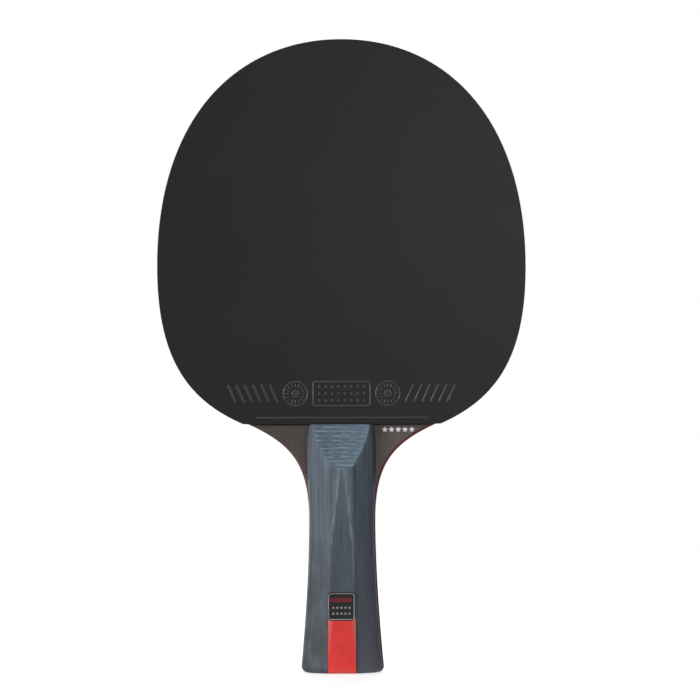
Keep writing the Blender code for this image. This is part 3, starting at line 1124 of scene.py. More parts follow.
@dataclass(frozen=True)
class GlossInlay(TwoTone):
    """Acrylic cast in clear red and polished: glassy, with a painted sheen that makes its chamfers
    paler.
    """

    # Colour of the painted sheen on the chamfers
    chamfer_sheen: str = "#cd6664"
    grain: Grain = Grain(6.0)
    tones: Pair = NOISE_SPAN
    roughness: Ramp = (*NOISE_SPAN, 0.10, 0.17)
    shader: tuple[tuple[str, float], ...] = (("IOR", 1.49),)

    def colour(self, s: Surface, pattern: Node) -> Node:
        """Mix the cast's two tones, and the painted sheen's colour where the mesh says so."""
        sheened = s.add(Kind.ATTRIBUTE, attribute_name="chamfer_sheen").outputs["Fac"]
        return s.add(Kind.BLEND, (sheened, super().colour(s, pattern), linear(self.chamfer_sheen)))


@dataclass(frozen=True)
class StampedAluminium(TwoTone):
    """Aluminium stamped to a rimmed tray: greyed by its clear coat, with fine brush lines."""

    grain: Grain = Grain((0.9, 0.9, 0.12))
    roughness: Ramp = (*NOISE_MIDDLE, 0.29, 0.44)
    shader: tuple[tuple[str, float], ...] = (("Metallic", 1.0),)


@dataclass(frozen=True)
class ScreenInk(TwoTone):
    """Ink pressed through a screen: a flat, slightly uneven film with the mesh's fine speckle."""

    grain: Grain = Grain(0.35)
    tones: Pair = (0.5, 0.75)
    roughness: Ramp = (*NOISE_SPAN, 0.30, 0.43)


@dataclass(frozen=True)
class StudioPaper:
    """Pale seamless paper lit from behind: matt, glowing white, and fading out at its rim."""

    name: str = "paper_pale_seamless"
    pale: str = "#a2a2a2"
    tooth: str = "#aaaaaa"
    grain: Grain = Grain(5.0, 3.0)
    roughness: Ramp = (0.0, 1.0, 0.9, 1.0)
    glow: float = 0.72
    spill: Ramp = (0.016, 0.032, 0.42, 0.0)
    fade: Ramp = (0.35, 0.8, 1.0, 0.0)

    def build(self) -> Material:
        """Make the material.

        Returns:
            The material.
        """
        s = Surface(self.name)
        tooth = self.grain.draw(s)
        colour = s.add(Kind.BLEND, (tooth, linear(self.pale), linear(self.tooth)))
        rough = s.add(Kind.RAMP, (tooth, *self.roughness))
        seen = s.add(Kind.LIGHT_PATH).outputs["Is Camera Ray"]
        away = s.add(Kind.LENGTH, (s.place,))
        glow = s.add(Kind.MIX, (seen, s.add(Kind.RAMP, (away, *self.spill)), self.glow))
        fade = s.add(Kind.RAMP, (away, *self.fade))
        lit = {"Emission Color": linear(WHITE), "Emission Strength": glow, "Alpha": fade}
        return s.finish({"Base Color": colour, "Roughness": rough, **lit})


# Geometry Nodes


FLOAT, INT, VECTOR = "NodeSocketFloat", "NodeSocketInt", "NodeSocketVector"
GRID_SIZES = {"Columns": INT, "Rows": INT, "Column pitch": FLOAT, "Row pitch": FLOAT}
PIMPLE_SIZES = {"Foot": FLOAT, "Tip": FLOAT, "Height": FLOAT, "Rim": FLOAT, "Band": FLOAT}


@dataclass(frozen=True)
class CopyTree:
    """A Geometry Nodes tree with named inputs, ending in real geometry with a material."""

    name: str
    sizes: dict[str, str]

    def start(self) -> tuple[Tree, Node]:
        """Make the tree with its inputs.

        Returns:
            The tree and its Group Input node.
        """
        tree = bpy.data.node_groups.new(self.name, "GeometryNodeTree")
        tree.interface.new_socket("Geometry", in_out="OUTPUT", socket_type="NodeSocketGeometry")
        kinds = {"Geometry": "NodeSocketGeometry", **self.sizes, "Material": "NodeSocketMaterial"}
        for name, kind in kinds.items():
            tree.interface.new_socket(name, in_out="INPUT", socket_type=kind)
        return tree, add_node(tree, Kind.GROUP_INPUT)

    def end(self, tree: Tree, given: Node, copies: dict[str, object]) -> Tree:
        """Make copies at points, make them real, give them the material and close the tree.

        Args:
            tree: The tree.
            given: Its Group Input node.
            copies: The points, the shape and how it is copied.

        Returns:
            The tree.
        """
        real = add_node(tree, Kind.REALIZE, (add_node(tree, Kind.COPIES, copies),))
        dressed = {"Geometry": real, "Material": given.outputs["Material"]}
        add_node(tree, Kind.GROUP_OUTPUT, (add_node(tree, Kind.SET_MATERIAL, dressed),))
        return tree


def lattice(tree: Tree, given: Node) -> Node:
    """Add points in rows and columns on the face's plane.

    Args:
        tree: The tree.
        given: Its Group Input node, which has the lattice's sizes.

    Returns:
        The node with the points.
    """
    size: dict[str, object] = {}
    for axis, count, pitch in (("X", "Columns", "Column pitch"), ("Y", "Rows", "Row pitch")):
        gaps = add_node(tree, Kind.DIFFERENCE, (given.outputs[count], 1.0))
        size[f"Size {axis}"] = add_node(tree, Kind.PRODUCT, (gaps, given.outputs[pitch]))
        size[f"Vertices {axis}"] = given.outputs[count]
    return add_node(tree, Kind.GRID, size)


@cache
def grid_tree() -> Tree:
    """Copy the shape in the object's mesh in rows and columns.

    Returns:
        The tree.
    """
    plan = CopyTree("copies_in_rows", GRID_SIZES)
    tree, given = plan.start()
    copies = {"Points": lattice(tree, given), "Instance": given.outputs["Geometry"]}
    return plan.end(tree, given, copies)


@cache
def ring_tree() -> Tree:
    """Copy the shape in the object's mesh round a circle, each copy turned to point outwards.

    Returns:
        The tree.
    """
    plan = CopyTree("copies_in_a_ring", {"Count": INT, "Radius": FLOAT})
    tree, given = plan.start()
    size = {"Vertices": given.outputs["Count"], "Radius": given.outputs["Radius"]}
    ring = add_node(tree, Kind.CIRCLE, size)
    turn = add_node(tree, Kind.AIM, {"Vector": add_node(tree, Kind.POSITION)})
    copies = {"Points": ring, "Instance": given.outputs["Geometry"], "Rotation": turn}
    return plan.end(tree, given, copies)


@cache
def pimple_tree() -> Tree:
    """Set cones in a triangular lattice along the rim of the outline in the object's mesh.

    Returns:
        The tree.
    """
    sizes = {**GRID_SIZES, **PIMPLE_SIZES, "Centre": VECTOR, "Stagger": VECTOR}
    plan = CopyTree("pimples_along_a_rim", sizes)
    tree, given = plan.start()
    size = given.outputs
    grid = lattice(tree, given)
    points = add_node(tree, Kind.JOIN)
    shift = add_node(tree, Kind.VECTOR_SUM, (size["Centre"], size["Stagger"]))
    for move in (size["Centre"], shift):
        moved = add_node(tree, Kind.MOVE, {"Geometry": grid, "Translation": move})
        tree.links.new(moved.outputs["Geometry"], points.inputs["Geometry"])
    tests = []
    for target, operation, limit in (
        ("FACES", "LESS_THAN", ON_FACE),
        ("EDGES", "GREATER_THAN", size["Rim"]),
        ("EDGES", "LESS_THAN", size["Band"]),
    ):
        near = add_node(tree, Kind.DISTANCE, (size["Geometry"],), target_element=target)
        sides = (near.outputs["Distance"], limit)
        tests.append(add_node(tree, Kind.COMPARE, sides, operation=operation))
    inside = add_node(tree, Kind.BOTH, tests[:2])
    kept = add_node(tree, Kind.BOTH, (inside, tests[2]))
    cone = {"Vertices": PIMPLE_SIDES, "Radius Top": size["Tip"], "Radius Bottom": size["Foot"]}
    pimple = add_node(tree, Kind.CONE, {**cone, "Depth": size["Height"]})
    return plan.end(tree, given, {"Points": points, "Selection": kept, "Instance": pimple})


def copied(tree: Tree, shape: Mesh, inputs: dict[str, object]) -> Mesh:
    """Run a Geometry Nodes tree on a shape.

    Args:
        tree: The tree.
        shape: The mesh that its object holds.
        inputs: Values of the tree's inputs, by their names.

    Returns:
        The plain mesh that the tree makes.
    """
    holder = add_object(tree.name, shape)
    modifier = holder.modifiers.new(tree.name, "NODES")
    modifier.node_group = tree
    keys = {s.name: s.identifier for s in tree.interface.items_tree if s.in_out == "INPUT"}
    for name, value in inputs.items():
        modifier[keys[name]] = value
    mesh = evaluated(holder)
    bpy.data.objects.remove(holder)
    return mesh


def in_rows(shape: Mesh, counts: tuple[int, int], pitches: Pair, surface: Material) -> Mesh:
    """Copy a shape in rows and columns round the origin.

    Args:
        shape: The shape.
        counts: Columns and rows.
        pitches: Distances between two columns and between two rows.
        surface: The copies' material.

    Returns:
        One mesh of all copies.
    """
    values = (*counts, *pitches)
    return copied(grid_tree(), shape, {**dict(zip(GRID_SIZES, values)), "Material": surface})


# Sub-assemblies


def clad(mesh: Mesh, surface: Material) -> Mesh:
    """Give a mesh its one material."""
    mesh.materials.append(surface)
    return mesh


def film(ring: np.ndarray, thickness: float) -> Mesh:
    """A flat body of little thickness on the plane of its face, such as a print."""
    return loft([raised(ring, level) for level in (0.0, thickness)])


@dataclass
class Blade:
    """Five plies glued into a blade, with rounded shoulders and red lacquered edges."""

    shoulder_round: float = 0.0012
    round_fade: float = 0.006
    edge_chamfer: float = 0.00005
    face_margins: tuple[float, ...] = (0.0004, 0.0012, 0.003)
    edge_levels: int = 6
    veneer: StainedVeneer = StainedVeneer()
    lacquer: EdgeLacquer = EdgeLacquer("plywood_edge_sprayed_red", "#9c1d27", "#7d161f")
    cross: RotaryCutWood = RotaryCutWood("spruce_veneer_rotary_cut", "#8d6a45", "#b08a5e")
    core: RotaryCutWood = RotaryCutWood("ayous_core_rotary_cut", "#c9aa7a", "#dcc193")

    def shoulder_share(self, z: np.ndarray) -> np.ndarray:
        """Find how much of the edge rounding applies.

        Args:
            z: Heights above the butt.

        Returns:
            A share for each height.
        """
        top = OUTLINE.handle_length
        under_rubber = 1 - smooth_step(z, top, top + self.round_fade)
        clear_of_grip = smooth_step(z, OUTLINE.waist_height, (OUTLINE.waist_height + top) / 2)
        return under_rubber * clear_of_grip

    def round_inset(self, level: float) -> float:
        """How far the full rounding draws the outline in at a distance from the middle plane."""
        return arc_inset(self.shoulder_round, levels("front_outer_ply")[1] - abs(level))

    def ply(self, low: float, high: float, bare_face: bool) -> Mesh:
        """One ply between two levels, in the frame of its face.

        Args:
            low: Level of its inner face.
            high: Level of its outer face.
            bare_face: Add rings on its outer face, where the lacquer ends.

        Returns:
            A mesh with the distance from its rim, in millimetres, in the attribute edge_inset.
        """
        ring = OUTLINE.blade()
        share = self.shoulder_share(ring[:, 1])
        chamfer = self.edge_chamfer
        rows = [(low, chamfer)]
        upright = np.linspace(low + chamfer, high - chamfer, self.edge_levels)
        rows += [(level, 0.0) for level in upright]
        rows.append((high, chamfer))
        if bare_face:
            rows += [(high, margin) for margin in self.face_margins]
        rings, insets = [], []
        for level, extra in rows:
            inset = self.round_inset(level) * share + extra
            rings.append(raised(offset(ring, -inset), level))
            insets.append(inset * MILLIMETRES)
        mesh = loft(rings)
        set_attribute(mesh, "edge_inset", np.concatenate(insets))
        return mesh

    def build(self) -> None:
        """Make and dress the five plies."""
        edge = self.lacquer.build()
        stained = self.veneer.build()
        spruce = self.cross.build()
        half = levels("core_ply")[1]
        core = self.ply(-half, half, False)
        self.dress("core_ply", core, Side.FRONT, (self.core.build(), edge))
        for side in Side:
            inner = f"{side.word}_inner_ply"
            outer = f"{side.word}_outer_ply"
            self.dress(inner, self.ply(*bonded(inner), False), side, (spruce, edge))
            self.dress(outer, self.ply(*bonded(outer), True), side, (stained,))

    def dress(
        self, node: str, mesh: Mesh, side: Side, surfaces: Sequence[Material]
    ) -> None:
        """Show a ply.

        Args:
            node: Its solid.
            mesh: Its mesh, in the frame of its face.
            side: The face.
            surfaces: Its materials, the last of them for the faces round its edge.
        """
        caps = len(mesh.polygons) - 2
        for polygon in mesh.polygons:
            polygon.material_index = 0 if polygon.index >= caps else len(surfaces) - 1
        mesh.transform(side.place())
        add_piece(f"{node}_wood", mesh, surfaces, (node,))


@dataclass
class MouldedBand:
    """The plain relief along a sheet's lower edge, the same to the left and the right.

    A panel of dots stands between two rayed bosses, with slanted bars outside and a line below.
    """

    relief: float = 0.00025
    sink: float = 0.00005
    edge_round: float = 0.00030
    round_steps: int = 4
    # Painted highlight on the raised edges: its share at these heights, as shares of the relief
    # height
    highlight_heights: tuple[float, ...] = (0.38, 0.71, 0.92, 1.0)
    highlight_shares: tuple[float, ...] = (0.0, 0.6, 1.0, 0.3)
    line: float = 0.0006
    line_round: float = 0.00027
    rule_height: float = 0.0026
    rule_length: float = 0.070
    middle_height: float = 0.0124
    panel_size: Pair = (0.0238, 0.0104)
    panel_corner: float = 0.0012
    dot: float = 0.0006
    dot_sides: int = 12
    dot_grid: tuple[int, int] = (8, 3)
    dot_pitch: Pair = (0.0026, 0.0028)
    boss_across: float = 0.0188
    boss: float = 0.0017
    boss_sides: int = 32
    boss_rim: float = 0.0052
    rim_sides: int = 64
    rays: int = 16
    ray: float = 0.0018
    ray_radius: float = 0.0034
    bars_across: float = 0.0362
    bars: int = 6
    bar_pitch: float = 0.0034
    bar_size: Pair = (0.0011, 0.0080)
    bar_lean: float = math.radians(24)
    # Radius of a bar's corners, as a share of half its width
    bar_corner: float = 0.98

    def outlined(self, ring: np.ndarray) -> Mesh:
        """Make a raised half-round line.

        Args:
            ring: The closed ring that it follows.

        Returns:
            The line's mesh, let into the sheet's face.
        """
        turns = np.linspace(0, math.pi, 2 * self.round_steps + 1)
        crown = zip(self.line / 2 * (1 - np.cos(turns)), self.relief * np.sin(turns))
        profile = [(0.0, -self.sink), *crown, (self.line, -self.sink)]
        return loft(stacked(ring, profile), around=True)

    def raised_shape(self, ring: np.ndarray, edge: float) -> Mesh:
        """Make a raised shape.

        Args:
            ring: Its outline.
            edge: Width of its rounded edge.

        Returns:
            The shape's mesh, let into the sheet's face.
        """
        turns = np.linspace(0, math.pi / 2, self.round_steps + 1)
        profile = [(0.0, -self.sink), *zip(edge * (1 - np.cos(turns)), self.relief * np.sin(turns))]
        return loft(stacked(ring, profile))

    def at(self, mesh: Mesh, across: float, up: float) -> Mesh:
        """A mesh moved to a place above the middle of the sheet's lower edge."""
        mesh.transform(Matrix.Translation((across, OUTLINE.handle_length + up, 0)))
        return mesh

    def bar(self, width: float, height: float, lean: float) -> np.ndarray:
        """Draw a bar with round ends.

        Args:
            width: Its size across.
            height: Its length.
            lean: Its angle from upright, to the right.

        Returns:
            Its outline.
        """
        ring = rounded_rectangle(width, height, width / 2 * self.bar_corner, self.round_steps)
        turned = Matrix.Rotation(-lean, 2)
        return np.array([turned @ Vector(p) for p in ring])

    def build(self, surface: Material) -> Mesh:
        """All of the relief, in the frame of its face, on the plane of the sheet's outer face.

        Args:
            surface: The sheet's rubber.

        Returns:
            One mesh of closed raised bodies.
        """
        flat, middle = math.pi / 2, self.middle_height
        panel = self.outlined(rounded_rectangle(*self.panel_size, self.panel_corner))
        rule = self.raised_shape(self.bar(self.line, self.rule_length, flat), self.line_round)
        plain = [self.at(panel, 0.0, middle), self.at(rule, 0.0, self.rule_height)]
        dot = self.raised_shape(circle(self.dot, self.dot_sides), self.edge_round)
        copies = [self.at(in_rows(dot, self.dot_grid, self.dot_pitch, surface), 0.0, middle)]
        for way in (-1, 1):
            rim = self.outlined(circle(self.boss_rim, self.rim_sides))
            boss = self.raised_shape(circle(self.boss, self.boss_sides), self.edge_round)
            plain += [self.at(mesh, way * self.boss_across, middle) for mesh in (rim, boss)]
            ray = self.raised_shape(self.bar(self.line, self.ray, flat), self.line_round)
            round_boss = {"Count": self.rays, "Radius": self.ray_radius, "Material": surface}
            rays = copied(ring_tree(), ray, round_boss)
            copies.append(self.at(rays, way * self.boss_across, middle))
            bar = self.raised_shape(self.bar(*self.bar_size, way * self.bar_lean), self.edge_round)
            bars = in_rows(bar, (self.bars, 1), (self.bar_pitch, 0.0), surface)
            copies.append(self.at(bars, way * self.bars_across, middle))
        whole = join([clad(mesh, surface) for mesh in plain] + copies)
        # Mark the painted highlight, strongest near the tops of the raised edges
        heights = places(whole)[:, 2] / self.relief
        set_attribute(whole, "rub", np.interp(heights, self.highlight_heights, self.highlight_shares))
        return whole


@dataclass
class Rubber:
    """One face's rubber: a sponge, and a topsheet whose pimples point inwards and stand on it."""

    side: Side
    finish: MouldedRubber
    slot: str
    sheet: float = 0.0008
    rebate: float = 0.0065
    edge_round: float = 0.00018
    round_steps: int = 4
    face_margin: float = 0.0005
    pimple_pitch: float = 0.0021
    pimple_foot: float = 0.00070
    pimple_tip: float = 0.00052
    pimple_rim: float = 0.00075
    overlap: float = 0.00003
    foam_spacing: float = 0.0004
    foam_rings: int = 7
    foam_rough: float = 0.00004
    foam_deepest: float = 0.00012
    foam_seed: int = 7
    foam: FoamSponge = FoamSponge()

    def build(self) -> None:
        """Make and dress the layers."""
        surface = self.finish.build()
        self.build_sheet(surface)
        self.build_pimples(surface)
        self.build_relief(surface)
        self.build_sponge()

    def build_sheet(self, surface: Material) -> None:
        """Make the smooth sheet, rebated along its rim for the pimples that show there.

        Args:
            surface: Its rubber.
        """
        node = f"{self.side.word}_topsheet"
        base, face = bonded(node)
        under = face - self.sheet
        profile = [(self.rebate, base), (self.rebate, under), (0.0, under)]
        rounding = quarter_round(self.edge_round, self.round_steps)
        profile += [(inset, face - drop) for inset, drop in rounding]
        profile.append((self.face_margin, face))
        mesh = loft(stacked(OUTLINE.rubber(), profile))
        mesh.transform(self.side.place())
        add_piece(f"{node}_skin", mesh, (surface,), (node,))

    def build_pimples(self, surface: Material) -> None:
        """Make the pimples in the rebate, between the sponge and the sheet.

        Args:
            surface: Their rubber.
        """
        base, face = bonded(f"{self.side.word}_topsheet")
        under = face - self.sheet
        ring = OUTLINE.rubber()
        low, high = ring.min(axis=0), ring.max(axis=0)
        pitches = (self.pimple_pitch, self.pimple_pitch * math.sqrt(3))
        columns, rows = (int(span / pitch) + 1 for span, pitch in zip(high - low, pitches))
        inputs = {
            "Columns": columns, "Rows": rows, "Column pitch": pitches[0], "Row pitch": pitches[1],
            "Foot": self.pimple_foot, "Tip": self.pimple_tip, "Height": under - base + self.overlap,
            "Rim": self.pimple_rim, "Band": self.rebate - self.pimple_foot,
            "Centre": (*(low + high) / 2, 0.0), "Stagger": (pitches[0] / 2, pitches[1] / 2, 0.0),
        }
        mesh = copied(pimple_tree(), plate("rim", ring, 0.0), {**inputs, "Material": surface})
        stand = Matrix.Translation((0, 0, under + self.overlap)) @ Matrix.Diagonal((1, 1, -1, 1))
        mesh.transform(self.side.place() @ stand)
        face_outwards(mesh)
        add_piece(f"{self.side.word}_topsheet_pimples", mesh)

    def build_relief(self, surface: Material) -> None:
        """Make the moulded band on the sheet's outer face.

        Args:
            surface: Its rubber.
        """
        mesh = MouldedBand().build(surface)
        face = levels(f"{self.side.word}_topsheet")[1]
        mesh.transform(self.side.place() @ Matrix.Translation((0, 0, face)))
        add_piece(f"{self.side.word}_topsheet_relief", mesh)

    def build_sponge(self) -> None:
        """Make the foam layer, with its cut edge pitted by open cells."""
        node = f"{self.side.word}_sponge"
        base, face = bonded(node)
        ring = resampled(OUTLINE.rubber(), self.foam_spacing)
        draws = np.random.default_rng(self.foam_seed)
        rings = []
        for level in np.linspace(base, face, self.foam_rings):
            pits = self.foam_rough * np.abs(draws.normal(size=len(ring)))
            rings.append(raised(offset(ring, -np.minimum(pits, self.foam_deepest)), level))
        mesh = loft(rings)
        mesh.transform(self.side.place())
        piece = add_piece(f"{node}_foam", mesh, (self.foam.build(),), (node,))


@dataclass(frozen=True)
class HandleForm:
    """The shape of a handle scale, from the sizes that its solid has.

    Flanks rise to two corners, with a low roof between them that a splayed flat cuts off. Points of
    a cross-section are (distance from the centre line, height above the glued face).
    """

    top_width: float = 0.0266
    swell: float = 0.0008
    # The highest value of share^2 (1 - share), which gives the swell its shape
    swell_peak: float = 4 / 27
    setback: float = 0.0003
    end_gap: float = 0.00015
    front_offset: float = -0.0002
    corner_width: float = 0.0096
    corner_butt_width: float = 0.0116
    corner_height: float = 0.0082
    corner_butt_height: float = 0.0089
    corner_ease: float = 0.0003
    flank_slope: float = math.radians(28)
    flank_rise: float = 0.5
    flank_reach: float = 0.7
    roof_slope: float = math.radians(6)
    facet_length: float = 0.0180
    facet_scoop: float = 0.0004
    facet_above_rubber: float = 0.0005
    flat_nose_width: float = 0.0014
    flat_splay: float = math.radians(6.7)
    profile_steps: int = 160

    @property
    def base(self) -> float:
        """Level of the scale's glued face."""
        return levels("front_handle_scale")[0]

    @property
    def top(self) -> float:
        """Height of the scale's upper end."""
        return OUTLINE.handle_length - self.end_gap

    @property
    def flat_top(self) -> float:
        """Height where the flat's nose meets the facet."""
        return self.top - self.facet_length

    def frame(self, side: Side) -> Matrix:
        """Frame of a handle half, which is a little off the centre line in front."""
        shift = self.front_offset if side is Side.FRONT else 0.0
        return Matrix.Translation((shift, 0, 0)) @ side.place()

    def half_width(self, z: float) -> float:
        """Find the half width where the scale meets the blade.

        Args:
            z: Height above the butt.

        Returns:
            The half width.
        """
        waist = OUTLINE.waist_width / 2 - self.setback
        if z < OUTLINE.waist_height:
            return OUTLINE.flared_half_width(z) - self.setback
        share = (z - OUTLINE.waist_height) / (self.top - OUTLINE.waist_height)
        swell = self.swell / self.swell_peak * share ** 2 * (1 - share)
        return waist + (self.top_width / 2 - waist) * share + swell

    def corner(self, z: float) -> Vector:
        """Find where a flank meets the roof.

        Args:
            z: Height above the butt.

        Returns:
            The right corner's point.
        """
        flare = OUTLINE.flare_share(z)
        wider = (self.corner_butt_width - self.corner_width) / 2 * flare ** OUTLINE.flare_power
        higher = (self.corner_butt_height - self.corner_height) * flare ** 2
        return Vector((self.corner_width / 2 + wider, self.corner_height + higher))

    def crown_height(self, x: float, z: float) -> float:
        """Find the height of the uncut roof, or of the straight part of the flank.

        Args:
            x: Distance from the centre line.
            z: Height above the butt.

        Returns:
            The height above the glued face.
        """
        edge = self.corner(z)
        slope = self.roof_slope if x < edge.x else self.flank_slope
        return edge.y + (edge.x - x) * math.tan(slope)

    def flat_half_width(self, z: float) -> float:
        """Half width of the flat, which splays from a narrow nose to just inside the corners."""
        splayed = self.flat_nose_width / 2 + max(self.flat_top - z, 0) * math.tan(self.flat_splay)
        return min(splayed, self.corner(z).x - self.corner_ease)

    def flat_height(self, z: float) -> float:
        """Height of the flat."""
        return self.crown_height(self.flat_half_width(z), z)

    def cut_height(self, z: float) -> float:
        """Find the height that the flat or the scooped facet leaves of the scale.

        Args:
            z: Height above the butt.

        Returns:
            The height above the glued face.
        """
        if z <= self.flat_top:
            return self.flat_height(z)
        end = levels("front_topsheet")[1] - self.base + self.facet_above_rubber
        share = (self.top - z) / self.facet_length
        straight = end + (self.flat_height(self.flat_top) - end) * share
        return straight - 4 * self.facet_scoop * share * (1 - share)

    def flank(self, z: float) -> np.ndarray:
        """Draw the right flank.

        Args:
            z: Height above the butt.

        Returns:
            Points from the blade up to the corner or the facet.
        """
        inset = OUTLINE.butt_inset(z)
        start = Vector((self.half_width(z) - inset, 0))
        edge = self.corner(z) - Vector((0, inset))
        rise = Vector((0, self.flank_rise * edge.y))
        slope = Vector((math.cos(self.flank_slope), -math.sin(self.flank_slope)))
        fall = slope * self.flank_reach * (start.x - edge.x)
        points = bezier(start, rise, fall, edge, self.profile_steps)
        level = self.cut_height(z) - inset
        if level >= edge.y:
            return points
        kept = points[points[:, 1] < level]
        return np.vstack((kept, (np.interp(level, points[:, 1], points[:, 0]), level)))

    def land(self, z: float) -> Vector:
        """Find the edge of the flat or the facet.

        Args:
            z: Height above the butt.

        Returns:
            The right edge's point.
        """
        level = self.cut_height(z) - OUTLINE.butt_inset(z)
        x, height = self.flank(z)[-1]
        roof = max(self.corner_ease, (level - height) / math.tan(self.roof_slope))
        return Vector((x - roof, level))


HANDLE = HandleForm()


@dataclass
class Badge:
    """A small stamped tray over the upper end of the front inlay, holding a printed panel."""

    above: float = 0.0218
    across: float = -0.00025
    width: float = 0.0107
    height: float = 0.0114
    corner: float = 0.0012
    corner_steps: int = 8
    thickness: float = 0.0009
    seat_depth: float = 0.0006
    border: float = 0.0003
    border_drop: float = 0.00045
    rim: float = 0.0003
    rim_round: float = 0.00009
    rim_steps: int = 5
    lower_bevel: float = 0.00014
    rim_shade: float = math.radians(20)
    recess: float = 0.0004
    panel: float = 0.0003
    panel_gap: float = 0.0001
    seat_gap: float = 0.00015
    ink: float = 0.00003
    band_size: Pair = (0.0091, 0.0017)
    band_steps: int = 2
    band_height: float = 0.0026
    pip: float = 0.00045
    pip_sides: int = 16
    pip_grid: tuple[int, int] = (5, 2)
    pip_pitch: Pair = (0.00165, 0.0024)
    pip_height: float = -0.0017
    metal: StampedAluminium = StampedAluminium(
        "aluminium_stamped_clear_coated", "#a0a1a4", "#c2c3c6"
    )
    black: ScreenInk = ScreenInk(
        "enamel_black_screened", "#1e1b1c", "#272324", roughness=(*NOISE_SPAN, 0.25, 0.38)
    )
    red: ScreenInk = ScreenInk("ink_red_screened", "#6a1a23", "#5c161f")
    silver: ScreenInk = ScreenInk("ink_silver_screened", "#929193", "#767578")

    def frame(self) -> Matrix:
        """Frame of the badge.

        Returns:
            A matrix, in the handle's frame, at the badge's middle on the flat and tilted with it.
        """
        low, high = self.above, self.above + self.height
        heights = [HANDLE.flat_height(z) for z in (low, high)]
        place = Matrix.Translation((self.across, (low + high) / 2, HANDLE.base + sum(heights) / 2))
        return place @ Matrix.Rotation(math.atan2(heights[1] - heights[0], self.height), 4, "X")

    def ring(self, inset: float, level: float, border: float = 0.0) -> np.ndarray:
        """Draw the badge's outline.

        Args:
            inset: How far it is drawn in.
            level: Its level above the flat.
            border: How much further its ends are drawn in.

        Returns:
            Its points, in the badge's frame.
        """
        size = (self.width - 2 * inset, self.height - 2 * (inset + border))
        corner = max(self.corner - inset, self.panel_gap)
        return raised(rounded_rectangle(*size, corner, self.corner_steps), level)

    def seat_cutter(self) -> Mesh:
        """Make the volume of the badge's seat.

        Returns:
            Its mesh, in the handle's frame.
        """
        ends = (-self.seat_depth, self.thickness)
        mesh = loft([self.ring(-self.seat_gap, level) for level in ends])
        mesh.transform(self.frame())
        return mesh

    def build(self) -> None:
        """Make and dress the tray and the panel."""
        place = HANDLE.frame(Side.FRONT) @ self.frame()
        self.build_tray(place)
        self.build_panel(place)

    def build_tray(self, place: Matrix) -> None:
        """Make the metal tray with its rounded rim, on a black edge that shows as a dark line at
        both ends.

        Args:
            place: The badge's frame.
        """
        base = self.seat_gap - self.seat_depth
        face = base + self.thickness
        edge = loft([self.ring(0.0, level) for level in (base, face - self.border_drop)])
        rounding = quarter_round(self.rim_round, self.rim_steps)
        profile = [(0.0, face - self.border_drop)]
        profile += [(inset, face - drop) for inset, drop in rounding]
        profile += [(self.rim - inset, face - drop) for inset, drop in reversed(rounding)]
        profile.append((self.rim, face - self.recess))
        rings = [self.ring(inset, level, self.border) for inset, level in profile]
        low = self.rim + self.border - self.height / 2
        for ring, (inset, level) in zip(rings, profile):
            if level > face - self.recess:
                pressed = self.lower_bevel * smooth_step(-ring[:, 1], -low - self.rim, -low)
                ring[:, 2] -= pressed * np.clip(inset / self.rim, 0, 1)
        mesh = join([clad(edge, self.black.build()), clad(loft(rings), self.metal.build())])
        mesh.transform(place)
        nodes = ("badge_plate",)
        add_piece("badge_plate_tray", mesh, nodes=nodes, smooth_angle=self.rim_shade)

    def build_panel(self, place: Matrix) -> None:
        """Make the dark panel with a red band and rows of pips printed on it.

        Args:
            place: The badge's frame.
        """
        floor = self.seat_gap - self.seat_depth + self.thickness - self.recess + self.panel_gap
        face = floor + self.panel
        inset = self.rim + self.panel_gap
        soft = self.ink
        profile = ((inset, floor), (inset, face - soft), (inset + soft, face))
        slab = clad(loft([self.ring(*point, self.border) for point in profile]), self.black.build())
        band = film(rounded_rectangle(*self.band_size, soft, self.band_steps), self.ink)
        clad(band, self.red.build())
        band.transform(Matrix.Translation((0, self.band_height, face)))
        pip = film(circle(self.pip, self.pip_sides), self.ink)
        pips = in_rows(pip, self.pip_grid, self.pip_pitch, self.silver.build())
        pips.transform(Matrix.Translation((0, self.pip_height, face)))
        mesh = join([slab, band, pips])
        mesh.transform(place)
        add_piece("badge_panel_print", mesh, nodes=("badge_panel",))


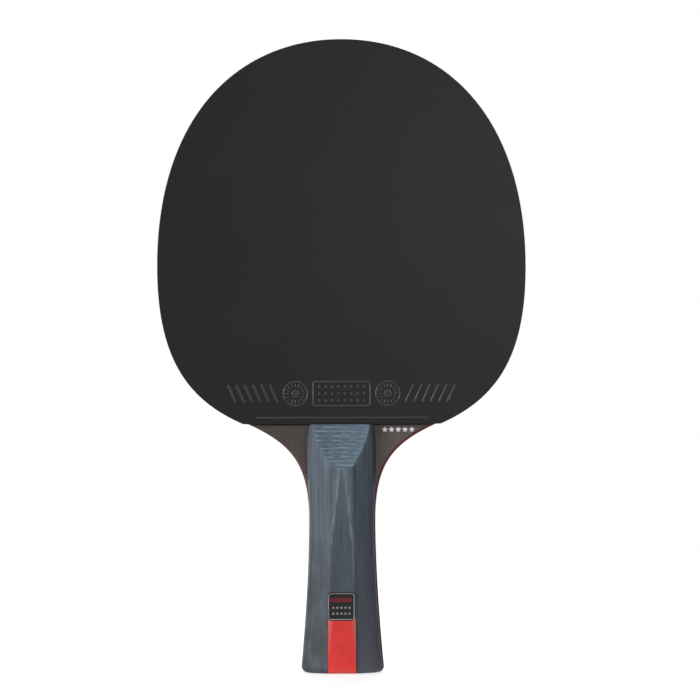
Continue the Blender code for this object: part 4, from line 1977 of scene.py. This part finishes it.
@dataclass
class Handle:
    """One half of the handle: a stained scale with a red inlay let into it at the butt."""

    side: Side
    badge: Badge | None = None
    crease_round: float = 0.00028
    # Paler creases, from wear and a painted highlight: how far they reach, their strength on the
    # facet and by height
    crease_light_width: float = 0.00026
    crease_fade: float = 0.0009
    facet_crease_light: float = 0.25
    crease_light_fade: tuple[Pair, Pair] = ((0.035, 0.060), (0.15, 1.0))
    wear_rows: int = 800
    smooth_angle: float = math.radians(24)
    flank_steps: int = 26
    flat_steps: int = 5
    crease_steps: int = 4
    body_rows: int = 96
    body_crowding: float = 1.6
    facet_rows: int = 40
    facet_crowding: float = 1.5
    foot_ease: float = 0.0005
    foot_height: float = 0.0013
    foot_fade: float = 0.014
    seat_gap: float = 0.00015
    inlay_length: float = 0.0231
    inlay_width: float = 0.0114
    inlay_depth: float = 0.0026
    inlay_lip: float = 0.00025
    inlay_rise: float = 0.0001
    inlay_slope: float = math.radians(11)
    inlay_chamfer: float = 0.00036
    inlay_end_bevel: float = 0.0006
    inlay_end_slope: float = 0.5
    inlay_end_rows: int = 4
    inlay_round: float = 0.00012
    inlay_round_steps: int = 3
    # How the painted sheen on the chamfers grows towards the badge
    chamfer_sheen_rise: float = 1.6
    inlay_rows: int = 30
    wood: StainedHandleWood = StainedHandleWood()
    acrylic: GlossInlay = GlossInlay("acrylic_red_polished", "#dd3c38", "#d53834")

    def build(self) -> None:
        """Make and dress the scale and its inlay."""
        self.build_scale()
        self.build_inlay()

    def section(self, z: float) -> np.ndarray:
        """Draw the scale's cross-section.

        Args:
            z: Height above the butt.

        Returns:
            Points from its right base over the top to its left.
        """
        flank = HANDLE.flank(z)
        length = distances(flank)[-1]
        side = walked(flank, np.linspace(0, length - 2 * self.crease_round, self.flank_steps))
        waist = OUTLINE.waist_height
        eased = smooth_step(z, waist, waist + self.foot_fade) * self.foot_ease
        side[:, 0] -= eased * np.clip(1 - side[:, 1] / self.foot_height, 0, 1) ** 2
        side[0, 1] = -GLUE_LINE
        land = HANDLE.land(z)
        corners = [side[-1], flank[-1], land, (0, land.y)]
        bend = softened(corners, self.crease_round, self.crease_steps)
        flat = np.linspace(bend[-2], bend[-1], self.flat_steps + 1)
        return bridged(np.concatenate((side[:-1], bend[:-2], flat)))

    def rows(self) -> list[float]:
        """List the heights of the scale's cross-sections, closest where the flat meets the facet.

        Returns:
            The heights.
        """
        heights = OUTLINE.butt_heights()
        low, high = OUTLINE.butt_round, HANDLE.flat_top
        shares = 1 - (1 - np.linspace(0, 1, self.body_rows + 1)[1:]) ** self.body_crowding
        heights += (low + (high - low) * shares).tolist()
        shares = np.linspace(0, 1, self.facet_rows + 1)[1:] ** self.facet_crowding
        return heights + (high + HANDLE.facet_length * shares).tolist()

    def lofted(self, heights: Sequence[float], section: Callable[[float], np.ndarray]) -> Mesh:
        """Close a body over cross-sections of the handle.

        Args:
            heights: Heights above the butt.
            section: Draws the cross-section at a height.

        Returns:
            Its mesh, in the handle's frame.
        """
        rings = []
        for z in heights:
            across, height = section(z).T
            rings.append(np.column_stack((across, np.full(len(across), z), HANDLE.base + height)))
        return loft(rings)

    def build_scale(self) -> None:
        """Make the stained wooden half with its seats cut out."""
        node = f"{self.side.word}_handle_scale"
        body = self.lofted(self.rows(), self.section)
        mesh = self.seated(body, [self.inlay_cutter(), *self.badge_seats()])
        self.mark_creases(mesh)
        mesh.transform(HANDLE.frame(self.side))
        wood = self.wood.build()
        add_piece(f"{node}_wood", mesh, (wood,), (node,), self.smooth_angle)

    def badge_seats(self) -> list[Mesh]:
        """The volume of the badge's seat, where there is a badge."""
        return [self.badge.seat_cutter()] if self.badge else []

    def seated(self, mesh: Mesh, cutters: Sequence[Mesh]) -> Mesh:
        """Cut seats out of a body.

        Args:
            mesh: The body.
            cutters: The volumes of its seats.

        Returns:
            The plain mesh that is left.
        """
        body = add_object("uncut_body", mesh)
        for volume in cutters:
            modifier = body.modifiers.new("seat", "BOOLEAN")
            modifier.operation = "DIFFERENCE"
            modifier.object = add_object("seat_cutter", volume)
        spent = [body, *(modifier.object for modifier in body.modifiers)]
        left = evaluated(body)
        for obj in spent:
            bpy.data.objects.remove(obj)
        return left

    def mark_creases(self, mesh: Mesh) -> None:
        """Mark nearness to a crease, for wear and a painted highlight, and whether a vertex is on
        the facet.

        Args:
            mesh: The scale, in the handle's frame.
        """
        heights = np.linspace(0, HANDLE.top, self.wear_rows)
        edges = [HANDLE.land(z).x for z in heights]
        across, up, _ = places(mesh).T
        inside = np.interp(up, heights, edges) - np.abs(across)
        above = up > HANDLE.flat_top
        near = np.where(inside > 0, (inside / self.crease_light_width) ** 2, -inside / self.crease_fade)
        worn_and_lit = np.exp(-near) * (up > OUTLINE.butt_round)
        tint_share = np.interp(up, *self.crease_light_fade)
        set_attribute(mesh, "crease", np.where(above, self.facet_crease_light, tint_share) * worn_and_lit)
        set_attribute(mesh, "facet", above & (inside > -HANDLE.corner_ease))

    def seat_floor(self) -> float:
        """Height of the bottom of the inlay's groove."""
        return HANDLE.flat_height(self.inlay_length) - self.inlay_depth

    def inlay_cutter(self) -> Mesh:
        """Make the volume of the inlay's groove, which is open at the butt.

        Returns:
            Its mesh, in the handle's frame.
        """
        half = self.inlay_width / 2 + self.seat_gap
        across = np.array((-half, half, half, -half))
        floor = HANDLE.base + self.seat_floor()
        roof = floor + 2 * HANDLE.corner_butt_height
        depth = np.array((roof, roof, floor, floor))
        ends = (-self.inlay_length, self.inlay_length + self.seat_gap)
        return loft([np.column_stack((across, np.full(len(across), z), depth)) for z in ends])

    def inlay_land(self, z: float) -> tuple[Vector, Vector]:
        """Find the right edges of the inlay's chamfer.

        Args:
            z: Height above the butt.

        Returns:
            The lower edge's point and the upper edge's.
        """
        half = self.inlay_width / 2
        edge = min(HANDLE.crown_height(half, z), HANDLE.cut_height(z)) + self.inlay_lip
        top = HANDLE.flat_height(z) + self.inlay_lip + self.inlay_rise * z / self.inlay_length
        land = min(half - (top - edge) / math.tan(self.inlay_slope), half - self.inlay_chamfer)
        return Vector((half, edge)), Vector((land, top))

    def inlay_section(self, z: float) -> np.ndarray:
        """Draw the inlay's cross-section: a low lip at its edges, chamfered up to a flat top.

        Args:
            z: Height above the butt.

        Returns:
            Points from its right base over the top to its left.
        """
        bevel = max(z - (self.inlay_length - self.inlay_end_bevel), 0) * self.inlay_end_slope
        drop = Vector((0, OUTLINE.butt_inset(z) + bevel))
        edge, land = (point - drop for point in self.inlay_land(z))
        corners = [(edge.x, self.seat_floor() + self.seat_gap), edge, land, (0.0, land.y)]
        return bridged(softened(corners, self.inlay_round, self.inlay_round_steps))

    def mark_chamfer_sheen(self, mesh: Mesh) -> None:
        """Mark how much painted sheen each vertex gets: on the chamfers, more towards the badge.

        Args:
            mesh: The inlay, in the handle's frame.
        """
        heights = np.linspace(0, self.inlay_length, self.wear_rows)
        lands = [self.inlay_land(z)[1].x for z in heights]
        across, up, _ = places(mesh).T
        outside = np.abs(across) - np.interp(up, heights, lands)
        # Painted sheen on the chamfers
        chamfered = np.clip(outside / self.inlay_round, 0, 1)
        set_attribute(mesh, "chamfer_sheen", chamfered * (up / self.inlay_length) ** self.chamfer_sheen_rise)

    def build_inlay(self) -> None:
        """Make the red strip in its groove."""
        node = f"{self.side.word}_handle_inlay"
        bevel = self.inlay_length - self.inlay_end_bevel
        heights = OUTLINE.butt_heights()
        heights += np.linspace(OUTLINE.butt_round, bevel, self.inlay_rows + 1)[1:].tolist()
        heights += np.linspace(bevel, self.inlay_length, self.inlay_end_rows + 1)[1:].tolist()
        mesh = self.seated(self.lofted(heights, self.inlay_section), self.badge_seats())
        self.mark_chamfer_sheen(mesh)
        mesh.transform(HANDLE.frame(self.side))
        add_piece(f"{node}_gloss", mesh, (self.acrylic.build(),), (node,))


@dataclass
class ShoulderStars:
    """Five plain white stars printed in a row on the front veneer's right shoulder."""

    count: int = 5
    radius: float = 0.00126
    pitch: float = 0.00275
    middle: Pair = (0.0230, 0.0990)
    thickness: float = 0.00003
    ink: ScreenInk = ScreenInk(
        "ink_white_screened", "#f6f5f5", "#e2e0e0", roughness=(*NOISE_SPAN, 0.40, 0.53)
    )

    def build(self) -> None:
        """Make and dress the row."""
        shape = film(star(self.radius), self.thickness)
        mesh = in_rows(shape, (self.count, 1), (self.pitch, 0.0), self.ink.build())
        level = levels("front_outer_ply")[1]
        mesh.transform(Side.FRONT.place() @ Matrix.Translation((*self.middle, level)))
        add_piece("shoulder_star_print", mesh)


# Studio


@dataclass(frozen=True)
class Softbox:
    """A rectangular studio light."""

    name: str
    place: Triple
    size: Pair
    power: float
    colour: str = WHITE

    def build(self, aim: Vector) -> None:
        """Hang the light.

        Args:
            aim: The point that it faces.
        """
        light = bpy.data.lights.new(self.name, "AREA")
        light.shape = "RECTANGLE"
        light.size, light.size_y = self.size
        light.energy = self.power
        light.color = linear(self.colour)[:3]
        obj = add_object(self.name, light)
        obj.location = self.place
        obj.rotation_euler = (aim - obj.location).to_track_quat("-Z", "Y").to_euler()
        obj.visible_camera = False


@dataclass
class Studio:
    """White paper, soft lights and the camera that took the photograph."""

    camera_place: Triple = (0.0034, -1.3, 0.1315)
    camera_lens: float = 163.4
    camera_roll: float = math.radians(-0.2)
    paper_radius: float = 1.0
    paper_sides: int = 128
    paper_gap: float = 0.0002
    ambient: float = 0.14
    paper: StudioPaper = StudioPaper()
    lights: tuple[Softbox, ...] = (
        Softbox("key_left", (-1.52, -1.10, 0.41), (1.1, 0.7), 31.0),
        Softbox("sheen_right", (0.17, -1.56, 0.27), (0.3, 0.3), 0.42),
        Softbox("fill_right", (0.85, -1.46, 0.31), (0.5, 0.6), 3.1),
        Softbox("strip_above", (0.0, -1.10, 1.26), (1.0, 0.14), 3.0),
        Softbox("top", (0.0, 0.1, 1.5), (1.0, 1.0), 6.0),
        Softbox("back_key", (0.0, 1.75, 0.95), (0.9, 0.9), 24.0),
        Softbox("rim_left", (-0.7, 0.8, 0.15), (0.4, 0.9), 3.2),
        Softbox("rim_right", (0.6, 1.0, 0.15), (0.4, 0.9), 2.2),
        Softbox("back_fill", (-0.85, 1.45, 0.30), (0.4, 0.9), 4.0),
    )

    def build(self) -> None:
        """Set up the paper, the lights and the camera."""
        self.build_paper()
        self.build_world()
        aim = (CAD_BOX[0] + CAD_BOX[1]) / 2
        for light in self.lights:
            light.build(aim)
        self.build_camera()
        bpy.context.scene.view_settings.view_transform = "Standard"

    def build_paper(self) -> None:
        """Lay the floor, a disc just under the butt."""
        rim = circle(self.paper_radius, self.paper_sides)[::-1]
        mesh = plate("paper_floor", rim, -self.paper_gap)
        add_object("paper_floor", clad(mesh, self.paper.build()))

    def build_world(self) -> None:
        """Give even dim light from all round, before a backdrop that the camera sees as white."""
        world = bpy.data.worlds.new("studio")
        world.use_nodes = True
        tree = world.node_tree
        tree.nodes.clear()
        room, backdrop = (
            add_node(tree, Kind.BACKGROUND, {"Color": linear(WHITE), "Strength": strength})
            for strength in (self.ambient, 1.0)
        )
        seen = add_node(tree, Kind.LIGHT_PATH).outputs["Is Camera Ray"]
        shown = add_node(tree, Kind.MIX_SHADER, (seen, room, backdrop))
        add_node(tree, Kind.WORLD_OUTPUT, (shown,))
        bpy.context.scene.world = world

    def build_camera(self) -> None:
        """Set the camera level with the paddle's middle and square to its face."""
        data = bpy.data.cameras.new("camera")
        data.lens = self.camera_lens
        camera = add_object("camera", data)
        level = Matrix.Rotation(math.pi / 2, 4, "X") @ Matrix.Rotation(self.camera_roll, 4, "Z")
        camera.matrix_world = Matrix.Translation(self.camera_place) @ level
        bpy.context.scene.camera = camera


def main() -> None:
    """Build every sub-assembly around the frame."""
    logging.basicConfig(level=logging.INFO, format="%(name)s: %(message)s")
    LOG.info("frame: %d solids", len(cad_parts))
    # Each rubber's last colour is its dust's, which also paints the highlight on its raised edges
    black = MouldedRubber("natural_rubber_black_moulded", "#19191a", "#1b1b1c", "#5e5e60")
    red = MouldedRubber("natural_rubber_red_moulded", "#a91f24", "#b02529", "#cf8f8d")
    badge = Badge()
    Studio().build()
    Blade().build()
    Rubber(Side.FRONT, black, "black_rubber").build()
    Rubber(Side.BACK, red, "red_rubber").build()
    Handle(Side.FRONT, badge).build()
    Handle(Side.BACK).build()
    badge.build()
    ShoulderStars().build()


if __name__ == "__main__":
    main()
